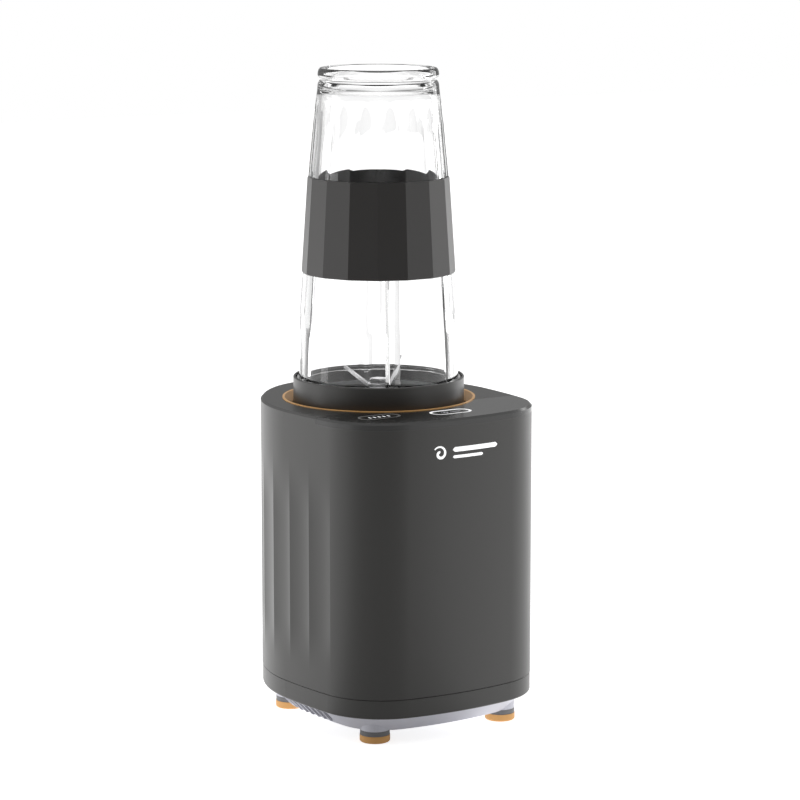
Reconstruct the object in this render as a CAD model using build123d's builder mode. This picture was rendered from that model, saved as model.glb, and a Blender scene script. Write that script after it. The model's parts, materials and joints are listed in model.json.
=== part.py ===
from build123d import *
import math
import os

# A personal blender: a motor base with a twist-in blade base and an inverted drinking cup.
# Millimetres, +Z up. z = 0 is the plane the feet stand on, x = 0 is the plane of symmetry,
# the front faces -Y, and the origin is the centre of the housing's footprint.

# ---------------------------------------------------------------- housing outline
body_width = 135.8
front_reach = 84.9           # cup axis to the front face
widest_y = -8.0              # where the housing is widest, from the cup axis
side_bow = 330.0             # radius of the slightly bowed sides
front_bow = 187.5            # radius of the slightly bowed front
corner_radius = 39.0
rear_narrowing = 12.7        # how much smaller the round back's radius is than half the width
rear_centre = 17.0           # centre of the round back, from the cup axis
shell_wall = 2.6
seam_chamfer = 0.3

half_width = body_width / 2
rear_radius = half_width - rear_narrowing
back_reach = rear_centre + rear_radius
axis_y = (front_reach - back_reach) / 2     # puts the footprint's centre on the origin
# the flank is an arc tangent to the widest part of the side and to the round back
flank_radius = half_width - rear_narrowing / 2 + (rear_centre - widest_y)**2 / (2 * rear_narrowing)
flank_turn = math.degrees(math.atan2(rear_centre - widest_y, flank_radius - half_width))

# ---------------------------------------------------------------- heights of the base
pad_height = 4.0
stem_height = 2.8
tray_height = 9.2            # sloping part of the tray
band_height = 10.7
shell_height = 149.0
cover_height = 3.8

tray_z = pad_height + stem_height
band_z = tray_z + tray_height
shell_z = band_z + band_height
cover_z = shell_z + shell_height
top_z = cover_z + cover_height

# ---------------------------------------------------------------- side flutes
flute_count = 5
flute_pitch = 18.6
flute_depth = 1.0
flute_front = -43.1          # first ridge, measured along the side from its widest place
flute_low_z = shell_z + 30.6
flute_high_z = cover_z - 39.1
flute_runout = 160.0         # radius at which a flute fades into the wall

# ---------------------------------------------------------------- tray, feet and vents
tray_wall = 2.4
tray_top_inset = 3.8
tray_bottom_inset = 12.8
tray_rim = 6.0
foot_x = half_width - 25.9
foot_front = 24.9 - front_reach    # from the cup axis
foot_back = back_reach - 44.0
foot_radius = 8.4
stem_radius = 8.1
stem_root = 0.65 * tray_height     # how far a stem runs up into the tray's slope
boss_radius = 5.0
boss_joint_z = shell_z + 2.1
boss_top_z = shell_z + 32.6
boss_rib = 2.0
base_screw_radius = 1.6
base_screw_head = 3.3
vent_count = 11
vent_pitch = 6.0
vent_width = 4.8
vent_front = -40.2           # from the cup axis

# ---------------------------------------------------------------- top cover, panel, keys
cover_bevel = 1.2
frame_thickness = 3.0        # the frame under the cover and the panel
frame_gap = 0.2
seat_gap = 0.05              # round pieces that sit in round holes
panel_gap = 0.15
panel_seam_slope = 0.03
panel_seam_apex = -37.2      # where the two seams would meet, from the cup axis
key_length = 25.5
key_width = 12.0
light_ring_wall = 1.1
key_gap = 0.25
key_travel = 0.8
blend_key_at = (4.5, -64.8)
pulse_key_at = (-37.0, -57.0)
board_z = cover_z - 10.1
board_thickness = 1.6
board_at = (-11.0, -62.5)
board_length = 74.0
board_width = 18.0
board_corner = 2.0
board_post_places = ((-40.0, -68.0), (-12.0, -68.5), (22.5, -60.0))

# ---------------------------------------------------------------- well and twist lock
collar_radius = 48.0
collar_gap = 0.9
skirt_radius = collar_radius - 2.8
skirt_gap = 0.7
lug_reach = 2.7
lug_gap = 0.5
lug_angle = 12.0
lug_count = 3
lug_first = 90.0
twist_angle = 25.0
well_radius = collar_radius + 4.0
well_floor_z = top_z - 29.9
well_floor = 3.0
well_top_z = top_z - 4.5
well_flange = well_radius + 6.5
ring_radius = well_radius + 2.2
skirt_z = well_floor_z + 5.0
shoulder_z = top_z - 6.9
lug_z = skirt_z + 3.0
lug_height = 3.0
plunger_radius = 1.1
plunger_travel = 2.0

# ---------------------------------------------------------------- blade base
collar_top_z = top_z + 12.3
collar_wall = 1.4
floor_z = top_z + 2.0
floor_thickness = 3.0
shaft_radius = 4.0
bush_radius = shaft_radius + 1.6
sleeve_radius = bush_radius + 1.85
hub_radius = sleeve_radius + 3.55
hub_rise = 1.7
hub_bore_gap = 0.06
shaft_gap = 0.05
gasket_height = 1.9

# ---------------------------------------------------------------- cup
cup_mouth_z = floor_z + 2.2
cup_height = 180.3
cup_top_z = cup_mouth_z + cup_height
cup_radius = 44.7            # at the collar
cup_end_radius = 33.9        # at the shoulder of the closed end
cup_mid_radius = 42.4
cup_mid_z = cup_mouth_z + 78.9
cup_shoulder_z = cup_top_z - 12.4
cup_mouth_bore = cup_radius - 2.8
cup_flange = collar_radius - 1.8
facet_count = 16
sleeve_low_z = cup_mouth_z + 66.5
sleeve_high_z = sleeve_low_z + 53.4
sleeve_low_radius = 43.06
sleeve_high_radius = 39.5
sleeve_wall = 1.3
rib_count = 4
rib_first = -112.5
rib_width = 4.5

# ---------------------------------------------------------------- motor
stator_low_z = well_floor_z - 63.0
stator_high_z = stator_low_z + 34.0
stator_x = 76.0
stator_y = 70.0
rotor_radius = 18.9
rotor_gap = 0.6
motor_shaft_low_z = stator_low_z - 52.0
motor_shaft_high_z = well_floor_z + 12.5
commutator_radius = 11.0
mount_x = 33.0
mount_y = 24.0
bracket_z = well_floor_z - 13.0
bracket_thickness = 3.0
mount_screw = 1.5
bolt_x = 34.0
bolt_radius = 2.0
bolt_head = 3.6              # across the corners, as a radius
bolt_head_height = 3.0
bolt_roof = 2.0

os.makedirs("parts", exist_ok=True)


def finish(builder, name):
    """Labels a finished piece and writes its STEP file."""
    builder.part.label = name
    export_step(builder.part, f"parts/{name}.step")


def at_axis(x=0.0, y=0.0, z=0.0):
    """A point given from the cup axis."""
    return (x, axis_y + y, z)


def axis_plane(z):
    """A level plane centred on the cup axis."""
    return Plane(origin=at_axis(z=z), x_dir=(1, 0, 0), z_dir=(0, 0, 1))


radial_plane = Plane(origin=at_axis(), x_dir=(1, 0, 0), z_dir=(0, -1, 0))   # x = radius, y = height
axis_line = Axis(at_axis(), (0, 0, 1))


def corner_centre():
    """Centre of the front corner's arc, tangent to the bowed front and the bowed side."""
    front = Vector(0, front_bow - front_reach)
    side = Vector(half_width - side_bow, widest_y)
    r_front = front_bow - corner_radius
    r_side = side_bow - corner_radius
    apart = (side - front).length
    along = (r_front**2 - r_side**2 + apart**2) / (2 * apart)
    across = math.sqrt(r_front**2 - along**2)
    line = (side - front).normalized()
    foot = front + line * along
    return foot + Vector(-line.Y, line.X) * across


def footprint(inset=0.0):
    """The housing's outline seen from above, drawn this far inside the outer face."""
    corner = corner_centre()
    side_x = half_width - side_bow
    front_y = front_bow - front_reach
    flank_x = half_width - flank_radius
    side_turn = math.degrees(math.atan2(corner.Y - widest_y, corner.X - side_x))
    front_turn = math.degrees(math.atan2(corner.Y - front_y, corner.X))
    with BuildSketch(mode=Mode.PRIVATE) as outline:
        with BuildLine():
            CenterArc(at_axis(0, rear_centre), rear_radius - inset, flank_turn, 180 - 2 * flank_turn)
            CenterArc(at_axis(flank_x, widest_y), flank_radius - inset, 0, flank_turn)
            CenterArc(at_axis(side_x, widest_y), side_bow - inset, 0, side_turn)
            CenterArc(at_axis(corner.X, corner.Y), corner_radius - inset, side_turn, front_turn - side_turn)
            CenterArc(at_axis(0, front_y), front_bow - inset, front_turn, -180 - 2 * front_turn)
            CenterArc(at_axis(-corner.X, corner.Y), corner_radius - inset, -180 - front_turn,
                      front_turn - side_turn)
            CenterArc(at_axis(-side_x, widest_y), side_bow - inset, -180 - side_turn, side_turn)
            CenterArc(at_axis(-flank_x, widest_y), flank_radius - inset, 180 - flank_turn, flank_turn)
        make_face()
    return outline.sketch


def outline_point(run):
    """Point and outward direction on the left side, this far along it behind its widest place."""
    wall_radius = flank_radius if run > 0 else side_bow
    turn = math.radians(180) - run / wall_radius
    out = Vector(math.cos(turn), math.sin(turn))
    return Vector(*at_axis(wall_radius - half_width, widest_y)) + out * wall_radius, out, wall_radius


def flute_cutter(run):
    """A bar that carves one side flute and bends away from the wall at both ends."""
    point, out, wall_radius = outline_point(run)
    radius = 1 / (8 * flute_depth / flute_pitch**2 - 1 / wall_radius)
    start = point + out * (radius - flute_depth)
    upright = Plane(origin=(start.X, start.Y, 0), x_dir=(out.X, out.Y, 0), z_dir=(out.Y, -out.X, 0))
    bend = math.degrees(math.sqrt(4 * flute_depth / (flute_runout + radius)))
    with BuildPart(mode=Mode.PRIVATE) as cutter:
        with BuildLine(upright) as path:
            CenterArc((flute_runout, flute_low_z), flute_runout, 180 + bend, -bend)
            Line((0, flute_low_z), (0, flute_high_z))
            CenterArc((flute_runout, flute_high_z), flute_runout, 180, -bend)
        with BuildSketch(Plane(origin=path.line @ 0, z_dir=path.line % 0)):
            Circle(radius)
        sweep(path=path.line)
    return cutter.part


foot_points = [at_axis(x, y) for x in (-foot_x, foot_x) for y in (foot_front, foot_back)]
flute_runs = [flute_front + flute_pitch * (i + 0.5) for i in range(flute_count)]
flute_cutters = [flute_cutter(run) for run in flute_runs]

# ================================================================ housing
gland_z = shell_z + 14.6
gland_bore = 3.3
gland_neck = 6.0
gland_flange = 8.0
gland_recess = 1.5
gland_lip = 0.8
gland_shim = 0.75            # clears the inside of the curved wall
gland_reach = 14.0
gland_nut = 1.6              # thickness of the inner flange
back_y = axis_y + back_reach
clip_angles = (62, 90, 118)  # about the round back's centre
clip_width = 10.0
clip_height = 2.0
clip_reach = 1.2
clip_gap = 0.3


def back_plane(depth):
    """A plane facing backwards, this far inside the housing's rearmost line, level with the gland."""
    return Plane(origin=(0, back_y - depth, gland_z), x_dir=(-1, 0, 0), z_dir=(0, 1, 0))


with BuildPart() as body_shell:
    with BuildSketch(Plane.XY.offset(shell_z)):
        add(footprint())
        add(footprint(shell_wall), mode=Mode.SUBTRACT)
    extrude(amount=shell_height)
    chamfer(body_shell.faces().sort_by(Axis.Z)[0].outer_wire().edges(), seam_chamfer)
    # screw bosses, each tied to the nearest side wall by a rib
    for x, y, _ in foot_points:
        side = math.copysign(1, x)
        with BuildSketch(Plane.XY.offset(boss_joint_z)):
            with Locations((x, y)):
                Circle(boss_radius)
            with Locations((x + side * boss_radius * 2, y)):
                Rectangle(boss_radius * 4, boss_rib)
        extrude(amount=boss_top_z - boss_joint_z)
    with BuildSketch(Plane.XY.offset(boss_joint_z)):
        Rectangle(body_width * 2, body_width * 2)
        add(footprint(seam_chamfer), mode=Mode.SUBTRACT)
    extrude(amount=boss_top_z - boss_joint_z, mode=Mode.SUBTRACT)
    with Locations([(x, y, boss_joint_z) for x, y, _ in foot_points]):
        Cylinder(base_screw_radius, 40, align=(Align.CENTER, Align.CENTER, Align.CENTER),
                 mode=Mode.SUBTRACT)
    for cutter in flute_cutters:
        add(cutter, mode=Mode.SUBTRACT)
        add(mirror(cutter, about=Plane.YZ, mode=Mode.PRIVATE), mode=Mode.SUBTRACT)
    # round opening and recess for the cord gland
    with BuildSketch(back_plane(shell_wall * 2)):
        Circle(gland_neck + seat_gap)
    extrude(amount=shell_wall * 3, mode=Mode.SUBTRACT)
    with BuildSketch(back_plane(gland_recess)):
        Circle(gland_flange + seat_gap)
    extrude(amount=shell_wall, mode=Mode.SUBTRACT)
    # pockets for the cover's snap clips
    with BuildSketch(Plane.XY.offset(cover_z - frame_thickness)):
        for angle in clip_angles:
            with Locations(Location(at_axis(0, rear_centre), (0, 0, angle))):
                with Locations((rear_radius - shell_wall, 0)):
                    Rectangle(2 * (clip_reach + clip_gap), clip_width + 2 * clip_gap)
    extrude(amount=clip_height + 2 * clip_gap, mode=Mode.SUBTRACT)
finish(body_shell, "body_shell")

band_wall = 3.0
band_inset = 0.2
tongue_height = 5.0
tongue_wall = 2.0
ledge_z = band_z + tray_rim
ledge_depth = 8.0
band_round = 1.2

with BuildPart() as lower_band:
    with BuildSketch(Plane.XY.offset(band_z)):
        add(footprint(band_inset))
        add(footprint(band_wall), mode=Mode.SUBTRACT)
    extrude(amount=band_height)
    chamfer(lower_band.faces().sort_by(Axis.Z)[-1].outer_wire().edges(), seam_chamfer)
    fillet(lower_band.faces().sort_by(Axis.Z)[0].outer_wire().edges(), band_round)
    # ledge that lands on the tray's rim
    with BuildSketch(Plane.XY.offset(ledge_z)):
        add(footprint(band_wall - band_inset))
        add(footprint(ledge_depth), mode=Mode.SUBTRACT)
    extrude(amount=shell_z - ledge_z)
    # tongue that locates the shell
    with BuildSketch(Plane.XY.offset(ledge_z)):
        add(footprint(shell_wall + frame_gap))
        add(footprint(shell_wall + frame_gap + tongue_wall), mode=Mode.SUBTRACT)
    extrude(amount=shell_z + tongue_height - ledge_z)
    # the ribs of the shell's screw bosses pass through the tongue
    with BuildSketch(Plane.XY.offset(boss_joint_z - frame_gap)):
        with Locations([(math.copysign(half_width, x), y) for x, y, _ in foot_points]):
            Rectangle(boss_radius * 8, boss_rib + 4 * frame_gap)
    extrude(amount=tongue_height * 2, mode=Mode.SUBTRACT)
finish(lower_band, "lower_band")

screw_seat_z = pad_height + 8.0

with BuildPart() as bottom_tray:
    with BuildSketch(Plane.XY.offset(tray_z)):
        add(footprint(tray_bottom_inset))
    with BuildSketch(Plane.XY.offset(band_z)):
        add(footprint(tray_top_inset))
    loft()
    with BuildSketch(Plane.XY.offset(band_z)):
        add(footprint(tray_top_inset))
    extrude(amount=tray_rim)
    with BuildSketch(Plane.XY.offset(tray_z + tray_wall)):
        add(footprint(tray_bottom_inset + tray_wall / 2))
    with BuildSketch(Plane.XY.offset(band_z)):
        add(footprint(tray_top_inset + tray_wall))
    loft(mode=Mode.SUBTRACT)
    with BuildSketch(Plane.XY.offset(band_z)):
        add(footprint(tray_top_inset + tray_wall))
    extrude(amount=tray_rim, mode=Mode.SUBTRACT)
    # air slots through the sloping sides
    vent_middle = axis_y + vent_front + vent_pitch * vent_count / 2
    with BuildSketch(Plane.XY.offset(tray_z - 1)):
        with Locations([(x, vent_middle) for x in (-half_width, half_width)]):
            with GridLocations(0, vent_pitch, 1, vent_count):
                Rectangle(2 * (tray_bottom_inset + tray_wall / 2), vent_width)
    extrude(amount=tray_height - tray_wall / 2, mode=Mode.SUBTRACT)
    # stems for the feet and bosses for the screws
    with BuildSketch(Plane.XY.offset(pad_height)):
        with Locations([(x, y) for x, y, _ in foot_points]):
            Circle(stem_radius)
    extrude(amount=stem_height + stem_root)
    with BuildSketch(Plane.XY.offset(tray_z)):
        with Locations([(x, y) for x, y, _ in foot_points]):
            Circle(boss_radius)
    extrude(amount=boss_joint_z - tray_z)
    with Locations([(x, y, pad_height) for x, y, _ in foot_points]):
        Cylinder(base_screw_head, screw_seat_z - pad_height,
                 align=(Align.CENTER, Align.CENTER, Align.MIN), mode=Mode.SUBTRACT)
        Cylinder(base_screw_radius, boss_joint_z - pad_height,
                 align=(Align.CENTER, Align.CENTER, Align.MIN), mode=Mode.SUBTRACT)
finish(bottom_tray, "bottom_tray")

plug_height = 3.0
plug_gap = 1.0               # between a foot's plug and the screw above it
pad_round = 1.0
screw_reach = 16.0           # of a base screw into its boss
screw_cross = 4.0
screw_cross_width = 0.9
screw_cross_depth = 1.2

with BuildPart() as rubber_feet:
    with BuildSketch():
        with Locations([(x, y) for x, y, _ in foot_points]):
            Circle(foot_radius)
    extrude(amount=pad_height)
    fillet(rubber_feet.edges().group_by(Axis.Z)[0], pad_round)
    with BuildSketch(Plane.XY.offset(pad_height)):
        with Locations([(x, y) for x, y, _ in foot_points]):
            Circle(base_screw_head - seat_gap)
    extrude(amount=plug_height)
finish(rubber_feet, "rubber_feet")

with BuildPart() as base_screws:
    with BuildSketch(Plane.XY.offset(pad_height + plug_height + plug_gap)):
        with Locations([(x, y) for x, y, _ in foot_points]):
            Circle(base_screw_head)
    extrude(amount=screw_seat_z - pad_height - plug_height - plug_gap)
    with BuildSketch(Plane.XY.offset(screw_seat_z)):
        with Locations([(x, y) for x, y, _ in foot_points]):
            Circle(base_screw_radius)
    extrude(amount=boss_joint_z + screw_reach - screw_seat_z)
    with BuildSketch(Plane.XY.offset(pad_height + plug_height + plug_gap)):
        with Locations([(x, y) for x, y, _ in foot_points]):
            Rectangle(screw_cross, screw_cross_width)
            Rectangle(screw_cross_width, screw_cross)
    extrude(amount=screw_cross_depth, mode=Mode.SUBTRACT)
finish(base_screws, "base_screws")

with BuildPart() as cord_gland:
    with BuildSketch(back_plane(gland_recess)):
        Circle(gland_flange)
    extrude(amount=gland_lip)
    with BuildSketch(back_plane(gland_recess)):
        Circle(gland_neck)
    extrude(amount=-gland_reach)
    with BuildSketch(back_plane(shell_wall + gland_shim)):
        Circle(gland_flange)
    extrude(amount=-gland_nut)
    with BuildSketch(back_plane(gland_recess + gland_reach)):
        Circle(gland_bore)
    extrude(amount=gland_reach * 2, mode=Mode.SUBTRACT)
finish(cord_gland, "cord_gland")

# ================================================================ top cover and keys
key_sink = 0.1
key_flange = 0.8
key_flange_height = 0.9
key_stem = 1.75
key_bevel = 0.3
switch_z = board_z + board_thickness
switch_height = 2.0
switch_button = 0.9
switch_size = 6.0
switch_button_radius = 1.6
lamp_offset = 8.5
lamp_length = 2.8
lamp_width = 1.8
lamp_height = 1.1
stem_tip_z = switch_z + switch_height + switch_button + key_travel + 0.1


def panel_side(gap):
    """Everything in front of the two seams, seen from above."""
    far = body_width
    apex = panel_seam_apex - gap
    with BuildSketch(mode=Mode.PRIVATE) as area:
        with BuildLine():
            Polyline(at_axis(0, apex), at_axis(far, apex - far * panel_seam_slope), at_axis(far, -body_width),
                     at_axis(-far, -body_width), at_axis(-far, apex - far * panel_seam_slope), close=True)
        make_face()
    return area.sketch


def cover_slab():
    """The whole bevelled top, before it is parted into cover and panel."""
    with BuildPart(mode=Mode.PRIVATE) as slab:
        with BuildSketch(Plane.XY.offset(cover_z)):
            add(footprint())
        extrude(amount=cover_height)
        chamfer(slab.faces().sort_by(Axis.Z)[-1].edges(), cover_bevel)
        with BuildSketch(axis_plane(cover_z)):
            Circle(ring_radius + seat_gap)
        extrude(amount=cover_height, mode=Mode.SUBTRACT)
    return slab.part


key_places = {"pulse": at_axis(*pulse_key_at), "blend": at_axis(*blend_key_at)}
board_posts = [at_axis(*place) for place in board_post_places]
post_radius = 2.2
board_screw_radius = 1.0
board_screw_head = 1.2
board_screw_reach = 4.0
well_screw_circle = well_radius + 3.5
well_screw_radius = 1.5
well_screw_first = 45.0
well_screw_head_radius = 2.6
well_screw_head = 1.8
well_screw_tail = 1.4        # past the cover's frame
flange_thickness = 1.6
frame_z = cover_z - frame_thickness

with BuildPart() as top_cover:
    add(cover_slab())
    with BuildSketch(Plane.XY.offset(cover_z)):
        add(panel_side(0))
    extrude(amount=cover_height, mode=Mode.SUBTRACT)
    with BuildSketch(Plane.XY.offset(frame_z)):
        add(footprint(shell_wall + frame_gap))
        for place in key_places.values():
            with Locations(place[:2]):
                SlotOverall(key_length + 1, key_width + 1, mode=Mode.SUBTRACT)
    extrude(amount=frame_thickness)
    with BuildSketch(axis_plane(frame_z)):
        Circle(well_radius + frame_gap)
    extrude(amount=frame_thickness, mode=Mode.SUBTRACT)
    # snap clips
    with BuildSketch(Plane.XY.offset(frame_z + clip_gap)):
        for angle in clip_angles:
            with Locations(Location(at_axis(0, rear_centre), (0, 0, angle))):
                with Locations((rear_radius - shell_wall - clip_reach, 0)):
                    Rectangle(4 * clip_reach, clip_width)
    extrude(amount=clip_height)
    # posts for the control board and holes for the well's screws
    with BuildSketch(Plane.XY.offset(switch_z)):
        with Locations([p[:2] for p in board_posts]):
            Circle(post_radius)
    extrude(amount=frame_z - switch_z)
    with Locations([(x, y, switch_z) for x, y, _ in board_posts]):
        Cylinder(board_screw_radius, board_screw_reach + 1, align=(Align.CENTER, Align.CENTER, Align.MIN),
                 mode=Mode.SUBTRACT)
    with BuildSketch(axis_plane(frame_z)):
        with PolarLocations(well_screw_circle, 4, start_angle=well_screw_first):
            Circle(well_screw_radius)
    extrude(amount=frame_thickness, mode=Mode.SUBTRACT)
finish(top_cover, "top_cover")

with BuildPart() as control_panel:
    add(cover_slab())
    with BuildSketch(Plane.XY.offset(cover_z)):
        add(panel_side(panel_gap))
    extrude(amount=cover_height, mode=Mode.INTERSECT)
    with BuildSketch(Plane.XY.offset(cover_z)):
        for place in key_places.values():
            with Locations(place[:2]):
                SlotOverall(key_length, key_width)
    extrude(amount=cover_height, mode=Mode.SUBTRACT)
finish(control_panel, "control_panel")

for key, place in key_places.items():
    key_face_length = key_length - 2 * (light_ring_wall + key_gap)
    key_face_width = key_width - 2 * (light_ring_wall + key_gap)
    with BuildPart() as light_ring:
        with BuildSketch(Plane.XY.offset(cover_z)):
            with Locations(place[:2]):
                SlotOverall(key_length, key_width)
                SlotOverall(key_length - 2 * light_ring_wall, key_width - 2 * light_ring_wall,
                            mode=Mode.SUBTRACT)
        extrude(amount=cover_height)
    finish(light_ring, f"{key}_light_ring")
    with BuildPart() as press_key:
        with BuildSketch(Plane.XY.offset(cover_z - key_sink - key_flange_height)):
            with Locations(place[:2]):
                SlotOverall(key_length - 1, key_width - 1)
        extrude(amount=key_flange_height)
        with BuildSketch(Plane.XY.offset(cover_z - key_sink - key_flange_height)):
            with Locations(place[:2]):
                SlotOverall(key_face_length, key_face_width)
        extrude(amount=cover_height + key_flange_height)
        chamfer(press_key.faces().sort_by(Axis.Z)[-1].edges(), key_bevel)
        with BuildSketch(Plane.XY.offset(stem_tip_z)):
            with Locations(place[:2]):
                Circle(key_stem)
        extrude(amount=cover_z - key_sink - stem_tip_z)
    finish(press_key, f"{key}_key")

with BuildPart() as control_board:
    with BuildSketch(Plane.XY.offset(board_z)):
        with Locations(at_axis(*board_at)[:2]):
            RectangleRounded(board_length, board_width, board_corner)
        with Locations([p[:2] for p in board_posts]):
            Circle(board_screw_radius, mode=Mode.SUBTRACT)
    extrude(amount=board_thickness)
finish(control_board, "control_board")

with BuildPart() as board_screws:
    with BuildSketch(Plane.XY.offset(board_z)):
        with Locations([p[:2] for p in board_posts]):
            Circle(board_screw_radius * 2)
    extrude(amount=-board_screw_head)
    with BuildSketch(Plane.XY.offset(board_z)):
        with Locations([p[:2] for p in board_posts]):
            Circle(board_screw_radius)
    extrude(amount=board_thickness + board_screw_reach)
finish(board_screws, "board_screws")

with BuildPart() as key_switches:
    with BuildSketch(Plane.XY.offset(switch_z)):
        with Locations([p[:2] for p in key_places.values()]):
            Rectangle(switch_size, switch_size)
    extrude(amount=switch_height)
    with BuildSketch(Plane.XY.offset(switch_z + switch_height)):
        with Locations([p[:2] for p in key_places.values()]):
            Circle(switch_button_radius)
    extrude(amount=switch_button)
finish(key_switches, "key_switches")

with BuildPart() as indicator_lamps:
    with BuildSketch(Plane.XY.offset(switch_z)):
        with Locations([(p[0] + side * lamp_offset, p[1]) for p in key_places.values() for side in (-1, 1)]):
            Rectangle(lamp_length, lamp_width)
    extrude(amount=lamp_height)
finish(indicator_lamps, "indicator_lamps")

# ================================================================ well that takes the blade base
mount_boss_radius = 5.0
mount_boss_z = well_floor_z - 5.0
drive_hole = shaft_radius + 2.5
groove_top_z = lug_z + lug_height + 0.8
groove_low_z = lug_z - 2.0
lug_circle = skirt_radius + lug_reach
groove_radius = lug_circle + lug_gap
well_bore = skirt_radius + skirt_gap
mouth_bore = collar_radius + collar_gap
slot_clear = 2.0             # degrees of clearance at each end of a lug
plunger_circle = (well_bore + groove_radius) / 2
plunger_angles = [lug_first - 0.9 * twist_angle, lug_first - 0.9 * twist_angle + 120]
plunger_tip_z = lug_z + plunger_travel / 2
plunger_bore_gap = 0.3
plunger_head = 1.2
cheek_thickness = 1.6        # plates that hold the interlock switches
cheek_width = 14.0
interlock_depth = 6.0
interlock_width = 12.8
interlock_gap = 0.1
shoulder_gap = 0.4
plunger_low_z = well_floor_z - 3.5
switch_low_z = well_floor_z - 12.5
switch_top_z = plunger_low_z - plunger_travel - 0.5
mount_points = [at_axis(x, y) for x in (-mount_x, mount_x) for y in (-mount_y, mount_y)]


def ring_sector(inner, outer, start, sweep_angle, z, height):
    """A curved block between two radii about the cup axis."""
    with BuildPart(mode=Mode.PRIVATE) as block:
        with BuildSketch(Plane(origin=at_axis(z=z), x_dir=(math.cos(math.radians(start)),
                                                           math.sin(math.radians(start)), 0))):
            with BuildLine():
                CenterArc((0, 0), outer, 0, sweep_angle)
                turn = math.radians(sweep_angle)
                Line((outer * math.cos(turn), outer * math.sin(turn)),
                     (inner * math.cos(turn), inner * math.sin(turn)))
                CenterArc((0, 0), inner, 0, sweep_angle)
                Line((inner, 0), (outer, 0))
            make_face()
        extrude(amount=height)
    return block.part


with BuildPart() as motor_well:
    with BuildSketch(axis_plane(well_floor_z)):
        Circle(well_radius)
    extrude(amount=well_top_z - well_floor_z)
    with BuildSketch(axis_plane(frame_z - flange_thickness)):
        Circle(well_flange)
    extrude(amount=flange_thickness)
    with BuildSketch(axis_plane(well_floor_z + well_floor)):
        Circle(well_bore)
    extrude(amount=well_top_z - well_floor_z, mode=Mode.SUBTRACT)
    with BuildSketch(axis_plane(shoulder_z - shoulder_gap)):
        Circle(mouth_bore)
    extrude(amount=well_top_z - well_floor_z, mode=Mode.SUBTRACT)
    with BuildSketch(axis_plane(well_floor_z)):
        Circle(drive_hole)
    extrude(amount=well_floor * 2, mode=Mode.SUBTRACT)
    # twist lock: an entry slot for each lug and a groove to turn it in
    for i in range(lug_count):
        middle = lug_first + 360 / lug_count * i
        half = lug_angle / 2 + slot_clear
        add(ring_sector(well_bore - 1, groove_radius, middle - half, 2 * half,
                        groove_low_z, well_top_z - groove_low_z), mode=Mode.SUBTRACT)
        add(ring_sector(well_bore - 1, groove_radius, middle - half - twist_angle, 2 * half + twist_angle,
                        groove_low_z, groove_top_z - groove_low_z), mode=Mode.SUBTRACT)
    # bores for the interlock plungers, and cheeks that hold their switches
    for angle in plunger_angles:
        spot = Location(at_axis(), (0, 0, angle))
        with BuildSketch(Plane.XY.offset(well_floor_z)):
            with Locations(spot):
                with Locations((plunger_circle, 0)):
                    Circle(plunger_radius + plunger_bore_gap)
        extrude(amount=groove_low_z - well_floor_z, mode=Mode.SUBTRACT)
        with BuildSketch(Plane.XY.offset(switch_low_z)):
            with Locations(spot):
                with Locations((well_radius - interlock_gap - cheek_thickness / 2, 0)):
                    Rectangle(cheek_thickness, cheek_width)
        extrude(amount=well_floor_z - switch_low_z)
    # bosses that the motor hangs from
    with BuildSketch(Plane.XY.offset(mount_boss_z)):
        with Locations([p[:2] for p in mount_points]):
            Circle(mount_boss_radius)
    extrude(amount=well_floor_z - mount_boss_z)
    with BuildSketch(Plane.XY.offset(mount_boss_z)):
        with Locations([p[:2] for p in mount_points]):
            Circle(mount_screw)
    extrude(amount=well_floor_z - mount_boss_z + 1.5, mode=Mode.SUBTRACT)
    with BuildSketch(axis_plane(frame_z - flange_thickness)):
        with PolarLocations(well_screw_circle, 4, start_angle=well_screw_first):
            Circle(well_screw_radius)
    extrude(amount=flange_thickness, mode=Mode.SUBTRACT)
finish(motor_well, "motor_well")

with BuildPart() as well_screws:
    with BuildSketch(axis_plane(frame_z - flange_thickness)):
        with PolarLocations(well_screw_circle, 4, start_angle=well_screw_first):
            Circle(well_screw_head_radius)
    extrude(amount=-well_screw_head)
    with BuildSketch(axis_plane(frame_z - flange_thickness)):
        with PolarLocations(well_screw_circle, 4, start_angle=well_screw_first):
            Circle(well_screw_radius)
    extrude(amount=frame_thickness + well_screw_tail)
finish(well_screws, "well_screws")

ring_lip = 1.3
ring_inner = collar_radius + 1.2
ring_rise = 0.4
ring_slope = 0.7
cushion_outer = skirt_radius - 0.3
cushion_inner = skirt_radius - 3.4

with BuildPart() as funnel_ring:
    with BuildSketch(radial_plane):
        with BuildLine():
            Polyline((ring_inner, well_top_z), (well_radius, well_top_z), (well_radius, cover_z),
                     (ring_radius, cover_z), (ring_radius, top_z + ring_rise),
                     (ring_radius - ring_lip, top_z + ring_rise), (ring_inner, well_top_z + ring_slope),
                     close=True)
        make_face()
    revolve(axis=axis_line)
finish(funnel_ring, "funnel_ring")

with BuildPart() as well_cushion:
    with BuildSketch(axis_plane(well_floor_z + well_floor)):
        Circle(cushion_outer)
        Circle(cushion_inner, mode=Mode.SUBTRACT)
    extrude(amount=skirt_z - well_floor_z - well_floor)
finish(well_cushion, "well_cushion")

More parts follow.
